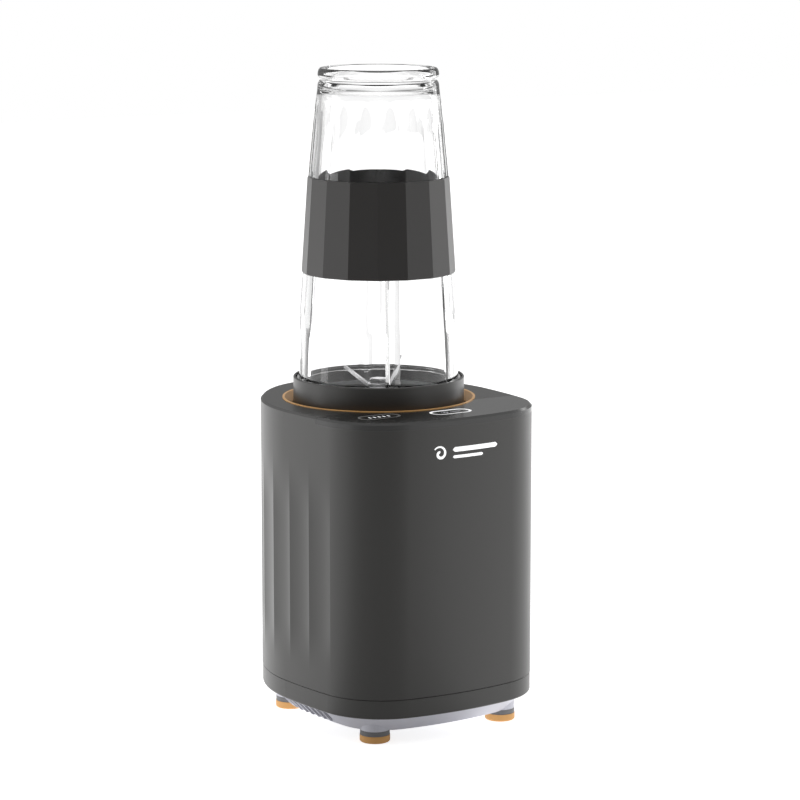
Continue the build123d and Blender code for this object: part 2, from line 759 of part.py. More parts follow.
with BuildPart() as interlock_plungers:
    with BuildSketch(Plane.XY.offset(plunger_low_z)):
        for angle in plunger_angles:
            with Locations(Location(at_axis(), (0, 0, angle))):
                with Locations((plunger_circle, 0)):
                    Circle(plunger_radius)
    extrude(amount=plunger_tip_z - plunger_low_z)
    fillet(interlock_plungers.edges().group_by(Axis.Z)[-1], plunger_radius * 0.6)
    with BuildSketch(Plane.XY.offset(plunger_low_z)):
        for angle in plunger_angles:
            with Locations(Location(at_axis(), (0, 0, angle))):
                with Locations((plunger_circle, 0)):
                    Circle(plunger_radius * 2)
    extrude(amount=plunger_head)
finish(interlock_plungers, "interlock_plungers")

with BuildPart() as interlock_switches:
    with BuildSketch(Plane.XY.offset(switch_low_z)):
        for angle in plunger_angles:
            with Locations(Location(at_axis(), (0, 0, angle))):
                with Locations((well_radius - interlock_gap - cheek_thickness - interlock_depth / 2, 0)):
                    Rectangle(interlock_depth, interlock_width)
    extrude(amount=switch_top_z - switch_low_z)
finish(interlock_switches, "interlock_switches")

# ================================================================ motor
motor_fit = shaft_radius + shaft_gap
grommet_radius = 5.0
grommet_waist = 3.0
grommet_lip = 2.0
stator_corner = 12.0
window_x = 20.0              # winding windows in the core
window_width = 10.0
window_length = 59.0
coil_y = 24.5
coil_length = 49.0
coil_width = 8.6
coil_overhang = 8.0
coil_round = 6.0
bearing_height = 7.0
bearing_radius = 11.0
small_bearing_height = 6.0
small_bearing_radius = 9.5
housing_wall = 3.0
hub_hole = shaft_radius + 1.5
leg_width = 6.4
leg_length = 16.0
leg_corner = 1.5
upper_plate = (80.0, 62.0, 8.0)     # length, width and corner radius
lower_plate = (76.0, 26.0, 6.0)

with BuildPart() as stator_core:
    with BuildSketch(axis_plane(stator_low_z)):
        RectangleRounded(stator_x, stator_y, stator_corner)
        Circle(rotor_radius + rotor_gap, mode=Mode.SUBTRACT)
        with Locations((-window_x, 0), (window_x, 0)):
            Rectangle(window_width, window_length, mode=Mode.SUBTRACT)
        with Locations((-bolt_x, 0), (bolt_x, 0)):
            Circle(bolt_radius, mode=Mode.SUBTRACT)
    extrude(amount=stator_high_z - stator_low_z)
finish(stator_core, "stator_core")

with BuildPart() as field_coils:
    with BuildSketch(axis_plane(stator_low_z - coil_overhang)):
        with GridLocations(0, 2 * coil_y, 1, 2):
            Rectangle(coil_length, coil_width)
    extrude(amount=stator_high_z - stator_low_z + 2 * coil_overhang)
    fillet(field_coils.edges().filter_by(Axis.Y), coil_round)
    with BuildSketch(axis_plane(stator_low_z)):
        Rectangle(2 * window_x - window_width, stator_x)
    extrude(amount=stator_high_z - stator_low_z, mode=Mode.SUBTRACT)
finish(field_coils, "field_coils")

with BuildPart() as upper_bracket:
    with BuildSketch(axis_plane(bracket_z)):
        RectangleRounded(*upper_plate)
        Circle(hub_hole, mode=Mode.SUBTRACT)
    extrude(amount=bracket_thickness)
    with BuildSketch(axis_plane(bracket_z - bearing_height)):
        Circle(bearing_radius + housing_wall)
        Circle(bearing_radius, mode=Mode.SUBTRACT)
    extrude(amount=bearing_height)
    with BuildSketch(axis_plane(stator_high_z)):
        with GridLocations(2 * bolt_x, 0, 2, 1):
            RectangleRounded(leg_width, leg_length, leg_corner)
    extrude(amount=bracket_z - stator_high_z)
    with BuildSketch(axis_plane(stator_high_z)):
        with GridLocations(2 * bolt_x, 0, 2, 1):
            Circle(bolt_radius)
    extrude(amount=bracket_z - stator_high_z - bolt_roof, mode=Mode.SUBTRACT)
    with BuildSketch(Plane.XY.offset(bracket_z)):
        with Locations([p[:2] for p in mount_points]):
            Circle(grommet_waist)
    extrude(amount=bracket_thickness, mode=Mode.SUBTRACT)
finish(upper_bracket, "upper_bracket")

lower_plate_z = stator_low_z - 32.0

with BuildPart() as lower_bracket:
    with BuildSketch(axis_plane(lower_plate_z)):
        RectangleRounded(*lower_plate)
        Circle(hub_hole, mode=Mode.SUBTRACT)
    extrude(amount=bracket_thickness)
    with BuildSketch(axis_plane(lower_plate_z - small_bearing_height)):
        Circle(small_bearing_radius + housing_wall)
        Circle(small_bearing_radius, mode=Mode.SUBTRACT)
    extrude(amount=small_bearing_height)
    with BuildSketch(axis_plane(lower_plate_z + bracket_thickness)):
        with GridLocations(2 * bolt_x, 0, 2, 1):
            RectangleRounded(leg_width, leg_length, leg_corner)
    extrude(amount=stator_low_z - lower_plate_z - bracket_thickness)
    with BuildSketch(axis_plane(lower_plate_z)):
        with GridLocations(2 * bolt_x, 0, 2, 1):
            Circle(bolt_radius)
    extrude(amount=stator_low_z - lower_plate_z, mode=Mode.SUBTRACT)
finish(lower_bracket, "lower_bracket")

with BuildPart() as stator_bolts:
    with BuildSketch(axis_plane(lower_plate_z)):
        with GridLocations(2 * bolt_x, 0, 2, 1):
            RegularPolygon(bolt_head, 6)
    extrude(amount=-bolt_head_height)
    with BuildSketch(axis_plane(lower_plate_z)):
        with GridLocations(2 * bolt_x, 0, 2, 1):
            Circle(bolt_radius)
    extrude(amount=bracket_z - 2 * bolt_roof - lower_plate_z)
finish(stator_bolts, "stator_bolts")

with BuildPart() as upper_bearing:
    with BuildSketch(axis_plane(bracket_z - bearing_height)):
        Circle(bearing_radius)
        Circle(motor_fit, mode=Mode.SUBTRACT)
    extrude(amount=bearing_height)
finish(upper_bearing, "upper_bearing")

with BuildPart() as lower_bearing:
    with BuildSketch(axis_plane(lower_plate_z - small_bearing_height)):
        Circle(small_bearing_radius)
        Circle(motor_fit, mode=Mode.SUBTRACT)
    extrude(amount=small_bearing_height)
finish(lower_bearing, "lower_bearing")

grommet_low_z = bracket_z - grommet_lip
mount_head_radius = 3.0
mount_head = 2.2

with BuildPart() as motor_mounts:
    for x, y, _ in mount_points:
        with BuildSketch(Plane(origin=(x, y, 0), x_dir=(1, 0, 0), z_dir=(0, -1, 0))):
            with BuildLine():
                Polyline((mount_screw, grommet_low_z), (grommet_radius, grommet_low_z),
                         (grommet_radius, bracket_z), (grommet_waist, bracket_z),
                         (grommet_waist, bracket_z + bracket_thickness),
                         (grommet_radius, bracket_z + bracket_thickness), (grommet_radius, mount_boss_z),
                         (mount_screw, mount_boss_z), close=True)
            make_face()
        revolve(axis=Axis((x, y, 0), (0, 0, 1)))
finish(motor_mounts, "motor_mounts")

with BuildPart() as mount_screws:
    with BuildSketch(Plane.XY.offset(grommet_low_z)):
        with Locations([p[:2] for p in mount_points]):
            Circle(mount_head_radius)
    extrude(amount=-mount_head)
    with BuildSketch(Plane.XY.offset(grommet_low_z)):
        with Locations([p[:2] for p in mount_points]):
            Circle(mount_screw)
    extrude(amount=well_floor_z + 1 - grommet_low_z)
finish(mount_screws, "mount_screws")

brush_z = lower_plate_z + 17.0
brush_gap = 0.2
holder_inner = 15.0
holder_outer = 28.0
holder_width = 9.0
holder_end = 1.5
brush_width = 6.0
brush_height = 8.0
brush_back = 5.0             # how far a brush stops short of its holder's end

with BuildPart() as brush_holders:
    with BuildSketch(axis_plane(lower_plate_z + bracket_thickness)):
        with GridLocations(holder_inner + holder_outer, 0, 2, 1):
            Rectangle(holder_outer - holder_inner, holder_width)
    extrude(amount=brush_z + brush_height / 2 + 2 - lower_plate_z - bracket_thickness)
    with BuildSketch(axis_plane(brush_z - brush_height / 2)):
        with GridLocations(holder_inner + holder_outer - holder_end, 0, 2, 1):
            Rectangle(holder_outer - holder_inner - holder_end, brush_width)
    extrude(amount=brush_height, mode=Mode.SUBTRACT)
finish(brush_holders, "brush_holders")

with BuildPart() as carbon_brushes:
    with BuildSketch(axis_plane(brush_z - brush_height / 2)):
        Rectangle(2 * (holder_outer - brush_back), brush_width)
        Circle(commutator_radius + brush_gap, mode=Mode.SUBTRACT)
    extrude(amount=brush_height)
finish(carbon_brushes, "carbon_brushes")

shaft_bevel = 0.5

with BuildPart() as motor_shaft:
    with BuildSketch(axis_plane(motor_shaft_low_z)):
        Circle(shaft_radius)
    extrude(amount=motor_shaft_high_z - motor_shaft_low_z)
    chamfer(motor_shaft.edges().group_by(Axis.Z)[-1], shaft_bevel)
    chamfer(motor_shaft.edges().group_by(Axis.Z)[0], shaft_bevel)
finish(motor_shaft, "motor_shaft")

core_slots = 12
core_mouth = 1.8
core_mouth_depth = 8.0
core_slot_radius = 1.6
core_slot_circle = rotor_radius - 7.5
end_turn_radius = 11.2
end_turn_size = (10.4, 8.0, 3.5)    # width, height and corner radius

with BuildPart() as armature_core:
    with BuildSketch(axis_plane(stator_low_z)):
        Circle(rotor_radius)
        with PolarLocations(rotor_radius + 0.5 - core_mouth_depth / 2, core_slots):
            Rectangle(core_mouth_depth, core_mouth, mode=Mode.SUBTRACT)
        with PolarLocations(core_slot_circle, core_slots):
            Circle(core_slot_radius, mode=Mode.SUBTRACT)
        Circle(shaft_radius, mode=Mode.SUBTRACT)
    extrude(amount=stator_high_z - stator_low_z)
finish(armature_core, "armature_core")

with BuildPart() as armature_windings:
    for z in (stator_low_z - end_turn_size[1] / 2, stator_high_z + end_turn_size[1] / 2):
        with BuildSketch(radial_plane):
            with Locations((end_turn_radius, z)):
                RectangleRounded(*end_turn_size)
        revolve(axis=axis_line)
finish(armature_windings, "armature_windings")

commutator_z = stator_low_z - 22.0
commutator_height = 14.0
commutator_bars = 24
bar_gap = 0.5
bar_gap_depth = 1.6

with BuildPart() as commutator:
    with BuildSketch(axis_plane(commutator_z)):
        Circle(commutator_radius)
        Circle(shaft_radius, mode=Mode.SUBTRACT)
        with PolarLocations(commutator_radius, commutator_bars):
            Rectangle(bar_gap_depth, bar_gap, mode=Mode.SUBTRACT)
    extrude(amount=commutator_height)
finish(commutator, "commutator")

fan_radius = 30.0
fan_low_z = motor_shaft_low_z + 2.0
fan_hub_radius = 8.0
fan_height = 9.0
fan_disc = 1.5
fan_blades = 11
fan_blade_line = ((7.0, 0.0), (18.0, 3.2), (29.0, 0.0))
fan_blade_width = 1.2

with BuildPart() as cooling_fan:
    with BuildSketch(axis_plane(fan_low_z)):
        Circle(fan_hub_radius)
    extrude(amount=fan_height)
    with BuildSketch(axis_plane(fan_low_z + fan_height - fan_disc)):
        Circle(fan_radius)
    extrude(amount=fan_disc)
    for i in range(fan_blades):
        turn = 2 * math.pi * i / fan_blades
        with BuildSketch(Plane(origin=at_axis(z=fan_low_z), x_dir=(math.cos(turn), math.sin(turn), 0))):
            with BuildLine() as blade_line:
                ThreePointArc(*fan_blade_line)
            trace(line_width=fan_blade_width)
        extrude(amount=fan_height - fan_disc / 2)
    with BuildSketch(axis_plane(fan_low_z)):
        Circle(shaft_radius)
    extrude(amount=fan_height, mode=Mode.SUBTRACT)
finish(cooling_fan, "cooling_fan")

# ================================================================ drive and driven couplings
drive_teeth = 6
drive_core = shaft_radius + 4.0
drive_tip = drive_core + 3.2
tooth_width = 4.2
tooth_gap = 0.35
drive_low_z = well_floor_z + well_floor + 0.8
drive_disc = 1.2
drive_top_z = drive_low_z + drive_disc + 8.2
driven_low_z = skirt_z + 0.5
driven_roof_z = drive_top_z + 0.8
driven_top_z = driven_roof_z + 2.5
driven_radius = drive_tip + 3.8

with BuildPart() as drive_coupling:
    with BuildSketch(axis_plane(drive_low_z)):
        Circle(drive_tip + 1.8)
    extrude(amount=drive_disc)
    with BuildSketch(axis_plane(drive_low_z + drive_disc)):
        Circle(drive_core)
        with PolarLocations(drive_tip / 2, drive_teeth):
            Rectangle(drive_tip, tooth_width)
    extrude(amount=drive_top_z - drive_low_z - drive_disc)
    with BuildSketch(axis_plane(drive_low_z)):
        Circle(shaft_radius)
    extrude(amount=motor_shaft_high_z - drive_low_z, mode=Mode.SUBTRACT)
finish(drive_coupling, "drive_coupling")

with BuildPart() as driven_coupling:
    with BuildSketch(axis_plane(driven_low_z)):
        Circle(driven_radius)
        Circle(drive_core + tooth_gap, mode=Mode.SUBTRACT)
        with PolarLocations(drive_tip / 2, drive_teeth):
            Rectangle(drive_tip + 2 * tooth_gap, tooth_width + 2 * tooth_gap, mode=Mode.SUBTRACT)
    extrude(amount=driven_roof_z - driven_low_z)
    with BuildSketch(axis_plane(driven_roof_z)):
        Circle(driven_radius)
        Circle(shaft_radius, mode=Mode.SUBTRACT)
    extrude(amount=driven_top_z - driven_roof_z)
finish(driven_coupling, "driven_coupling")

# ================================================================ blade base
hub_top_z = floor_z + hub_rise
hub_low_z = driven_top_z + 3.2
skirt_wall = 3.0
step_radii = (16.0, 24.0, 32.0)
step_width = 1.4
step_rise = 0.6
flange_gap = 0.2
sleeve_flange = sleeve_radius + 2.05
sleeve_flange_height = 1.2
clip_radius = sleeve_radius + 2.55
clip_thickness = 1.0
sleeve_low = hub_low_z - 2.2
sleeve_top = hub_top_z + flange_gap + sleeve_flange_height

with BuildPart() as blade_base:
    with BuildSketch(radial_plane):
        with BuildLine():
            inner = collar_radius - collar_wall
            bore = sleeve_radius + hub_bore_gap
            Polyline((skirt_radius, skirt_z), (skirt_radius, shoulder_z), (collar_radius, shoulder_z),
                     (collar_radius, collar_top_z - 0.5), (collar_radius - 0.5, collar_top_z),
                     (inner + 0.3, collar_top_z), (inner, collar_top_z - 0.3), (inner, floor_z),
                     (hub_radius, floor_z), (hub_radius, hub_top_z), (bore, hub_top_z), (bore, hub_low_z),
                     (hub_radius, hub_low_z), (hub_radius, floor_z - floor_thickness),
                     (skirt_radius - skirt_wall, floor_z - floor_thickness),
                     (skirt_radius - skirt_wall, skirt_z), close=True)
        make_face()
        for radius in step_radii:
            with Locations((radius, floor_z + step_rise / 2 - 0.2)):
                Rectangle(step_width, step_rise + 0.4)
    revolve(axis=axis_line)
    for i in range(lug_count):
        middle = lug_first + 360 / lug_count * i
        add(ring_sector(skirt_radius - 1, lug_circle, middle - lug_angle / 2, lug_angle, lug_z, lug_height))
finish(blade_base, "blade_base")

with BuildPart() as bearing_sleeve:
    with BuildSketch(radial_plane):
        with BuildLine():
            Polyline((bush_radius, sleeve_low), (sleeve_radius, sleeve_low),
                     (sleeve_radius, hub_top_z + flange_gap), (sleeve_flange, hub_top_z + flange_gap),
                     (sleeve_flange, sleeve_top - 0.4), (sleeve_flange - 0.8, sleeve_top),
                     (bush_radius, sleeve_top), close=True)
        make_face()
    revolve(axis=axis_line)
finish(bearing_sleeve, "bearing_sleeve")

with BuildPart() as retaining_clip:
    with BuildSketch(axis_plane(hub_low_z - flange_gap - clip_thickness)):
        Circle(clip_radius)
        Circle(sleeve_radius, mode=Mode.SUBTRACT)
        with Locations((0, -clip_radius)):
            Rectangle(5, 6, mode=Mode.SUBTRACT)
    extrude(amount=clip_thickness)
finish(retaining_clip, "retaining_clip")

bush_height = 4.5
seal_height = 2.0

with BuildPart() as blade_bushes:
    for z in (sleeve_low, sleeve_top - seal_height - bush_height):
        with BuildSketch(axis_plane(z)):
            Circle(bush_radius)
            Circle(shaft_radius + shaft_gap, mode=Mode.SUBTRACT)
        extrude(amount=bush_height)
finish(blade_bushes, "blade_bushes")

with BuildPart() as shaft_seal:
    with BuildSketch(axis_plane(sleeve_top - seal_height)):
        Circle(bush_radius)
        Circle(shaft_radius + shaft_gap, mode=Mode.SUBTRACT)
    extrude(amount=seal_height)
finish(shaft_seal, "shaft_seal")

# ---------------------------------------------------------------- blades
blade_sheet = 1.4
lower_blade_z = sleeve_top + 0.4
upper_blade_z = lower_blade_z + blade_sheet
nut_z = upper_blade_z + blade_sheet
nut_height = 2.8
blade_root = shaft_radius + 3.0
blade_heading = -33.0        # the steep wing points this way at rest, degrees from +X


def wing(heading, z, root_width, tip_width, length, rise):
    """One sharpened wing, bent up from the hub by rise degrees."""
    turn = math.radians(heading)
    tilt = math.radians(rise)
    out = Vector(math.cos(turn), math.sin(turn), 0)
    along = out * math.cos(tilt) + Vector(0, 0, math.sin(tilt))
    normal = Vector(0, 0, math.cos(tilt)) - out * math.sin(tilt)
    start = Vector(*at_axis(z=z)) + out * (blade_root - 0.6)
    with BuildPart(mode=Mode.PRIVATE) as blade:
        with BuildSketch(Plane(origin=start, x_dir=along, z_dir=normal)):
            with BuildLine():
                Polyline((0, -root_width / 2), (length - 2, -tip_width / 2), (length, tip_width / 4),
                         (length - 3, tip_width / 2), (0, root_width / 2), close=True)
            make_face()
        extrude(amount=blade_sheet)
    return blade.part


with BuildPart() as upper_blade:
    with BuildSketch(axis_plane(upper_blade_z)):
        Circle(blade_root)
        Circle(shaft_radius, mode=Mode.SUBTRACT)
    extrude(amount=blade_sheet)
    add(wing(blade_heading, upper_blade_z, 9.0, 5.0, 18.0, 68))
    add(wing(blade_heading + 180, upper_blade_z, 9.0, 5.0, 17.0, 38))
finish(upper_blade, "upper_blade")

with BuildPart() as lower_blade:
    with BuildSketch(axis_plane(lower_blade_z)):
        Circle(blade_root)
        Circle(shaft_radius, mode=Mode.SUBTRACT)
    extrude(amount=blade_sheet)
    add(wing(blade_heading + 90, lower_blade_z, 10.0, 5.0, 18.0, 0))
    add(wing(blade_heading - 90, lower_blade_z, 10.0, 5.0, 18.0, -5))
finish(lower_blade, "lower_blade")

with BuildPart() as blade_nut:
    with BuildSketch(axis_plane(nut_z)):
        RegularPolygon(shaft_radius + 1.6, 6)
    extrude(amount=nut_height)
    chamfer(blade_nut.faces().sort_by(Axis.Z)[-1].edges(), 0.7)
    with BuildSketch(axis_plane(nut_z)):
        Circle(shaft_radius)
    extrude(amount=nut_height - 1, mode=Mode.SUBTRACT)
finish(blade_nut, "blade_nut")

with BuildPart() as blade_shaft:
    with BuildSketch(axis_plane(driven_roof_z)):
        Circle(shaft_radius)
    extrude(amount=nut_z + nut_height - 1 - driven_roof_z)
    with BuildSketch(axis_plane(driven_top_z)):
        Circle(shaft_radius + 1.4)
    extrude(amount=sleeve_low - 0.2 - driven_top_z)
finish(blade_shaft, "blade_shaft")

# ================================================================ cup
flange_low_z = collar_top_z - 2.4
flange_high_z = collar_top_z - 0.6
neck_radius = cup_radius - 0.1
cavity_end_z = cup_top_z - 9.5
cavity_end_radius = 31.6
cavity_mid_radius = 39.0
cavity_mid_z = sleeve_low_z
cavity_turn_z = cup_top_z - 18.0
cavity_flat = 24.0
base_recess_z = cup_top_z - 5.4
# height above the mouth and depth of each facet
facet_depths = [(30.3, 0.0), (51.3, 0.9), (68.3, 1.5), (93.3, 1.3), (118.3, 0.95), (141.3, 0.78),
                (163.3, 0.0)]
facet_half = math.radians(180 / facet_count)

with BuildPart() as mouth_gasket:
    with BuildSketch(axis_plane(floor_z)):
        Circle(cup_flange - 0.2)
        Circle(cup_mouth_bore - 0.6, mode=Mode.SUBTRACT)
    extrude(amount=gasket_height)
finish(mouth_gasket, "mouth_gasket")

wall_line = ThreePointArc((cup_radius, flange_high_z), (cup_mid_radius, cup_mid_z),
                          (cup_end_radius, cup_shoulder_z))
cavity_line = ThreePointArc((cup_mouth_bore, cup_mouth_z), (cavity_mid_radius, cavity_mid_z),
                            (cavity_end_radius, cavity_turn_z))


def radius_at(curve, z):
    """Radius of a wall line at this height, found by halving."""
    low, high = 0.0, 1.0
    for _ in range(40):
        middle = (low + high) / 2
        if (curve @ middle).Y < z:
            low = middle
        else:
            high = middle
    return (curve @ low).X


def sleeve_flat(z):
    """Distance of the sleeve's outer flats from the cup axis at this height."""
    share = (z - sleeve_low_z) / (sleeve_high_z - sleeve_low_z)
    corner = sleeve_low_radius + (sleeve_high_radius - sleeve_low_radius) * share
    return corner * math.cos(facet_half)


facet_turns = [360 / facet_count * i - 90 for i in range(facet_count)]


def facet_plane(turn):
    """Upright plane through the cup axis: x runs outwards in this direction, y runs up."""
    angle = math.radians(turn)
    return Plane(origin=at_axis(), x_dir=(math.cos(angle), math.sin(angle), 0),
                 z_dir=(math.sin(angle), -math.cos(angle), 0))


def facet_cutter(turn):
    """Takes one shallow facet off the cup wall, and the deeper seat of the grip sleeve."""
    reach = cup_radius + 6
    wide = reach * math.tan(facet_half)
    seat_low = sleeve_flat(sleeve_low_z) - sleeve_wall
    seat_high = sleeve_flat(sleeve_high_z) - sleeve_wall
    with BuildPart(mode=Mode.PRIVATE) as cutter:
        with BuildSketch(facet_plane(turn)):
            with BuildLine():
                points = [(radius_at(wall_line, cup_mouth_z + z) - depth, cup_mouth_z + z)
                          for z, depth in facet_depths]
                Spline(*points)
                Polyline(points[-1], (reach, points[-1][1]), (reach, points[0][1]), points[0])
            make_face()
            with BuildLine():
                Polyline((seat_low, sleeve_low_z), (seat_high, sleeve_high_z), (reach, sleeve_high_z),
                         (reach, sleeve_low_z), close=True)
            make_face()
        extrude(amount=wide, both=True)
    return cutter.part


with BuildPart() as cup:
    with BuildSketch(radial_plane):
        with BuildLine():
            add(wall_line)
            Polyline(wall_line @ 1, (cup_end_radius - 0.3, cup_top_z - 8.5),
                     (cup_end_radius - 1.2, cup_top_z - 6.8), (cup_end_radius - 0.3, cup_top_z - 5),
                     (cup_end_radius - 0.5, cup_top_z - 1.6))
            ThreePointArc((cup_end_radius - 0.5, cup_top_z - 1.6), (cup_end_radius - 1.2, cup_top_z - 0.4),
                          (cup_end_radius - 2.6, cup_top_z))
            Polyline((cup_end_radius - 2.6, cup_top_z), (cup_end_radius - 4.6, cup_top_z - 1),
                     (cup_end_radius - 5.6, base_recess_z), (0, base_recess_z), (0, cavity_end_z),
                     (cavity_flat, cavity_end_z))
            RadiusArc((cavity_flat, cavity_end_z), cavity_line @ 1, 8.6)
            add(cavity_line)
            Polyline(cavity_line @ 0, (neck_radius, cup_mouth_z), (neck_radius, flange_low_z),
                     (cup_flange, flange_low_z), (cup_flange, flange_high_z), wall_line @ 0)
        make_face()
    revolve(axis=axis_line)
    for turn in facet_turns:
        add(facet_cutter(turn), mode=Mode.SUBTRACT)
    # four ribs inside, which throw the food back onto the blades
    for i in range(rib_count):
        with BuildSketch(facet_plane(rib_first + 360 / rib_count * i)):
            with BuildLine():
                rib_low = cup_mouth_z + 2
                Polyline((radius_at(cavity_line, rib_low) - 3.2, rib_low),
                         (radius_at(cavity_line, rib_low) + 1.0, rib_low),
                         (radius_at(cavity_line, sleeve_low_z) + 1.0, sleeve_low_z),
                         (radius_at(cavity_line, sleeve_low_z + 40) + 1.0, sleeve_low_z + 40),
                         (radius_at(cavity_line, sleeve_low_z + 20) - 2.6, sleeve_low_z + 20), close=True)
            make_face()
        extrude(amount=rib_width / 2, both=True)
finish(cup, "cup")

with BuildPart() as grip_sleeve:
    for radius, mode in ((0.0, Mode.ADD), (sleeve_wall / math.cos(facet_half), Mode.SUBTRACT)):
        for z, corner in ((sleeve_low_z, sleeve_low_radius), (sleeve_high_z, sleeve_high_radius)):
            with BuildSketch(axis_plane(z)):
                RegularPolygon(corner - radius, facet_count, rotation=180 / facet_count)
        loft(mode=mode)
    with BuildSketch(radial_plane):
        with BuildLine():
            Polyline((0, sleeve_low_z), (sleeve_low_radius - 0.5, sleeve_low_z),
                     (sleeve_low_radius + 0.3, sleeve_low_z + 1.2),
                     (sleeve_high_radius + 0.9, sleeve_high_z - 2),
                     (sleeve_high_radius - 0.3, sleeve_high_z), (0, sleeve_high_z), close=True)
        make_face()
    revolve(axis=axis_line, mode=Mode.INTERSECT)
finish(grip_sleeve, "grip_sleeve")
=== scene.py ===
# %% [markdown]
# # A personal blender, dressed around its CAD frame
# The frame holds every working part: housing, motor, couplings, blade base and cup. This file gives
# them their looks. Each cell says what a piece or a finish is on the real blender, then makes it.

# %% Load the frame
import json
import math

import bmesh
import bpy
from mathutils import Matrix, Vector


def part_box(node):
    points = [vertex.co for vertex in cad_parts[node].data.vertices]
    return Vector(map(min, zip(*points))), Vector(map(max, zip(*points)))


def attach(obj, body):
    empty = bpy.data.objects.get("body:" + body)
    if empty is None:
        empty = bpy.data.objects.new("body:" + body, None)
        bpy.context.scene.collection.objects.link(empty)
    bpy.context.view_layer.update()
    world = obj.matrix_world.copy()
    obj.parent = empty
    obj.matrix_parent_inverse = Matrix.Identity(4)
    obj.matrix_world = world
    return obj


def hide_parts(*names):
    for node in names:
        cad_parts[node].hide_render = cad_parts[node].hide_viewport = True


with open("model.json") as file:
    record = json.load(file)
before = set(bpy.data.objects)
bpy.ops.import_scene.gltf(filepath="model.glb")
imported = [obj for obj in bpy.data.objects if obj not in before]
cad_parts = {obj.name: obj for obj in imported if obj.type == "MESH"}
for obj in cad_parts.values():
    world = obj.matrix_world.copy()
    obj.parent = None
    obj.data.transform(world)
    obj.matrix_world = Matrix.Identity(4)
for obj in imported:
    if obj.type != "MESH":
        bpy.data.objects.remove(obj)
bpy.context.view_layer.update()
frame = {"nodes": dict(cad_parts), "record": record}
nodes = frame["nodes"]

# %% [markdown]
# Everything round shares one upright axis, through the middle of the cup. The cup's own box gives that
# axis, and the boxes of its neighbours give every height that the new pieces need.

# %% Measures read from the frame
MM = 0.001
cup_low, cup_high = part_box("cup")
shell_low, shell_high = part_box("body_shell")
sleeve_low, sleeve_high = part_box("grip_sleeve")
axis = Vector(((cup_low.x + cup_high.x) / 2, (cup_low.y + cup_high.y) / 2, 0))
print("cup axis", tuple(round(v, 4) for v in axis))

# %% [markdown]
# ## Camera
# A product picture is taken with a long lens from a little above, so that upright edges stay nearly
# parallel. The camera stands in front and to the left and looks down by about nine degrees.

# %% Camera
EYE = Vector((-0.9551, -1.4603, 0.468)) + axis
HEADING = math.radians(33.58)      # from straight ahead, towards the right
LOOK_DOWN = math.radians(9.457)
SENSOR = 36.0
LENS = 141.4

camera_data = bpy.data.cameras.new("studio_camera")
camera_data.sensor_width = SENSOR
camera_data.lens = LENS
camera = bpy.data.objects.new("studio_camera", camera_data)
camera.location = EYE
camera.rotation_euler = (math.pi / 2 - LOOK_DOWN, 0, -HEADING)
bpy.context.scene.collection.objects.link(camera)
bpy.context.scene.camera = camera
print("camera at", tuple(round(v, 3) for v in EYE))

# %% [markdown]
# ## Studio
# Dark satin plastic shows its shape through what it mirrors. The room is bright to the left and right
# and dark behind the camera, so each side of the housing carries a soft light band, and the corner that
# faces the camera stays dark between them. What the eye sees straight on is plain white. Through the clear
# cup it is white ahead and greyer off to either side, which draws the edges of the plastic.


# %% Tone helpers
def tone_ramp(tree, stops, source):
    """A grey ramp with these stops, driven by a source socket."""
    ramp = tree.nodes.new("ShaderNodeValToRGB")
    while len(ramp.color_ramp.elements) < len(stops):
        ramp.color_ramp.elements.new(1.0)
    for stop, (place, tone) in zip(ramp.color_ramp.elements, stops):
        stop.position = place
        stop.color = (tone, tone, tone, 1)
    ramp.color_ramp.interpolation = "B_SPLINE"
    tree.links.new(source, ramp.inputs["Fac"])
    return ramp


def agreement(tree, source, fixed):
    """The dot product of a direction with a fixed one, from -1 to 1."""
    dot = tree.nodes.new("ShaderNodeVectorMath")
    dot.operation = "DOT_PRODUCT"
    dot.inputs[1].default_value = fixed
    tree.links.new(source, dot.inputs[0])
    return dot.outputs["Value"]


def share_towards(tree, source, fixed):
    """From 0 where a direction points away from a fixed one, to 1 where it points the same way."""
    span = tree.nodes.new("ShaderNodeMapRange")
    span.inputs["From Min"].default_value = -1.0
    span.inputs["From Max"].default_value = 1.0
    tree.links.new(agreement(tree, source, fixed), span.inputs["Value"])
    return span.outputs["Result"]


def share_off(tree, source, fixed):
    """From 0 square to a fixed direction, to 1 along it either way."""
    size = tree.nodes.new("ShaderNodeMath")
    size.operation = "ABSOLUTE"
    tree.links.new(agreement(tree, source, fixed), size.inputs[0])
    return size.outputs["Value"]


# %% World
scene = bpy.context.scene
scene.view_settings.view_transform = "Standard"
scene.view_settings.look = "None"

world = bpy.data.worlds.new("studio_world")
world.use_nodes = True
scene.world = world
room = world.node_tree
room_light = room.nodes["Background"]
room_light.inputs["Strength"].default_value = 1.0

towards_camera = Vector((EYE.x - axis.x, EYE.y - axis.y, 0)).normalized()
sideways = towards_camera.cross(Vector((0, 0, 1)))
direction = room.nodes.new("ShaderNodeTexCoord")
# brightness of the room from behind the blender (0) round to behind the camera (1)
ROOM_TONES = [(0.0, 0.40), (0.12, 0.50), (0.30, 1.9), (0.50, 2.9), (0.66, 1.5), (0.80, 0.30), (0.91, 0.04),
              (1.0, 0.03)]
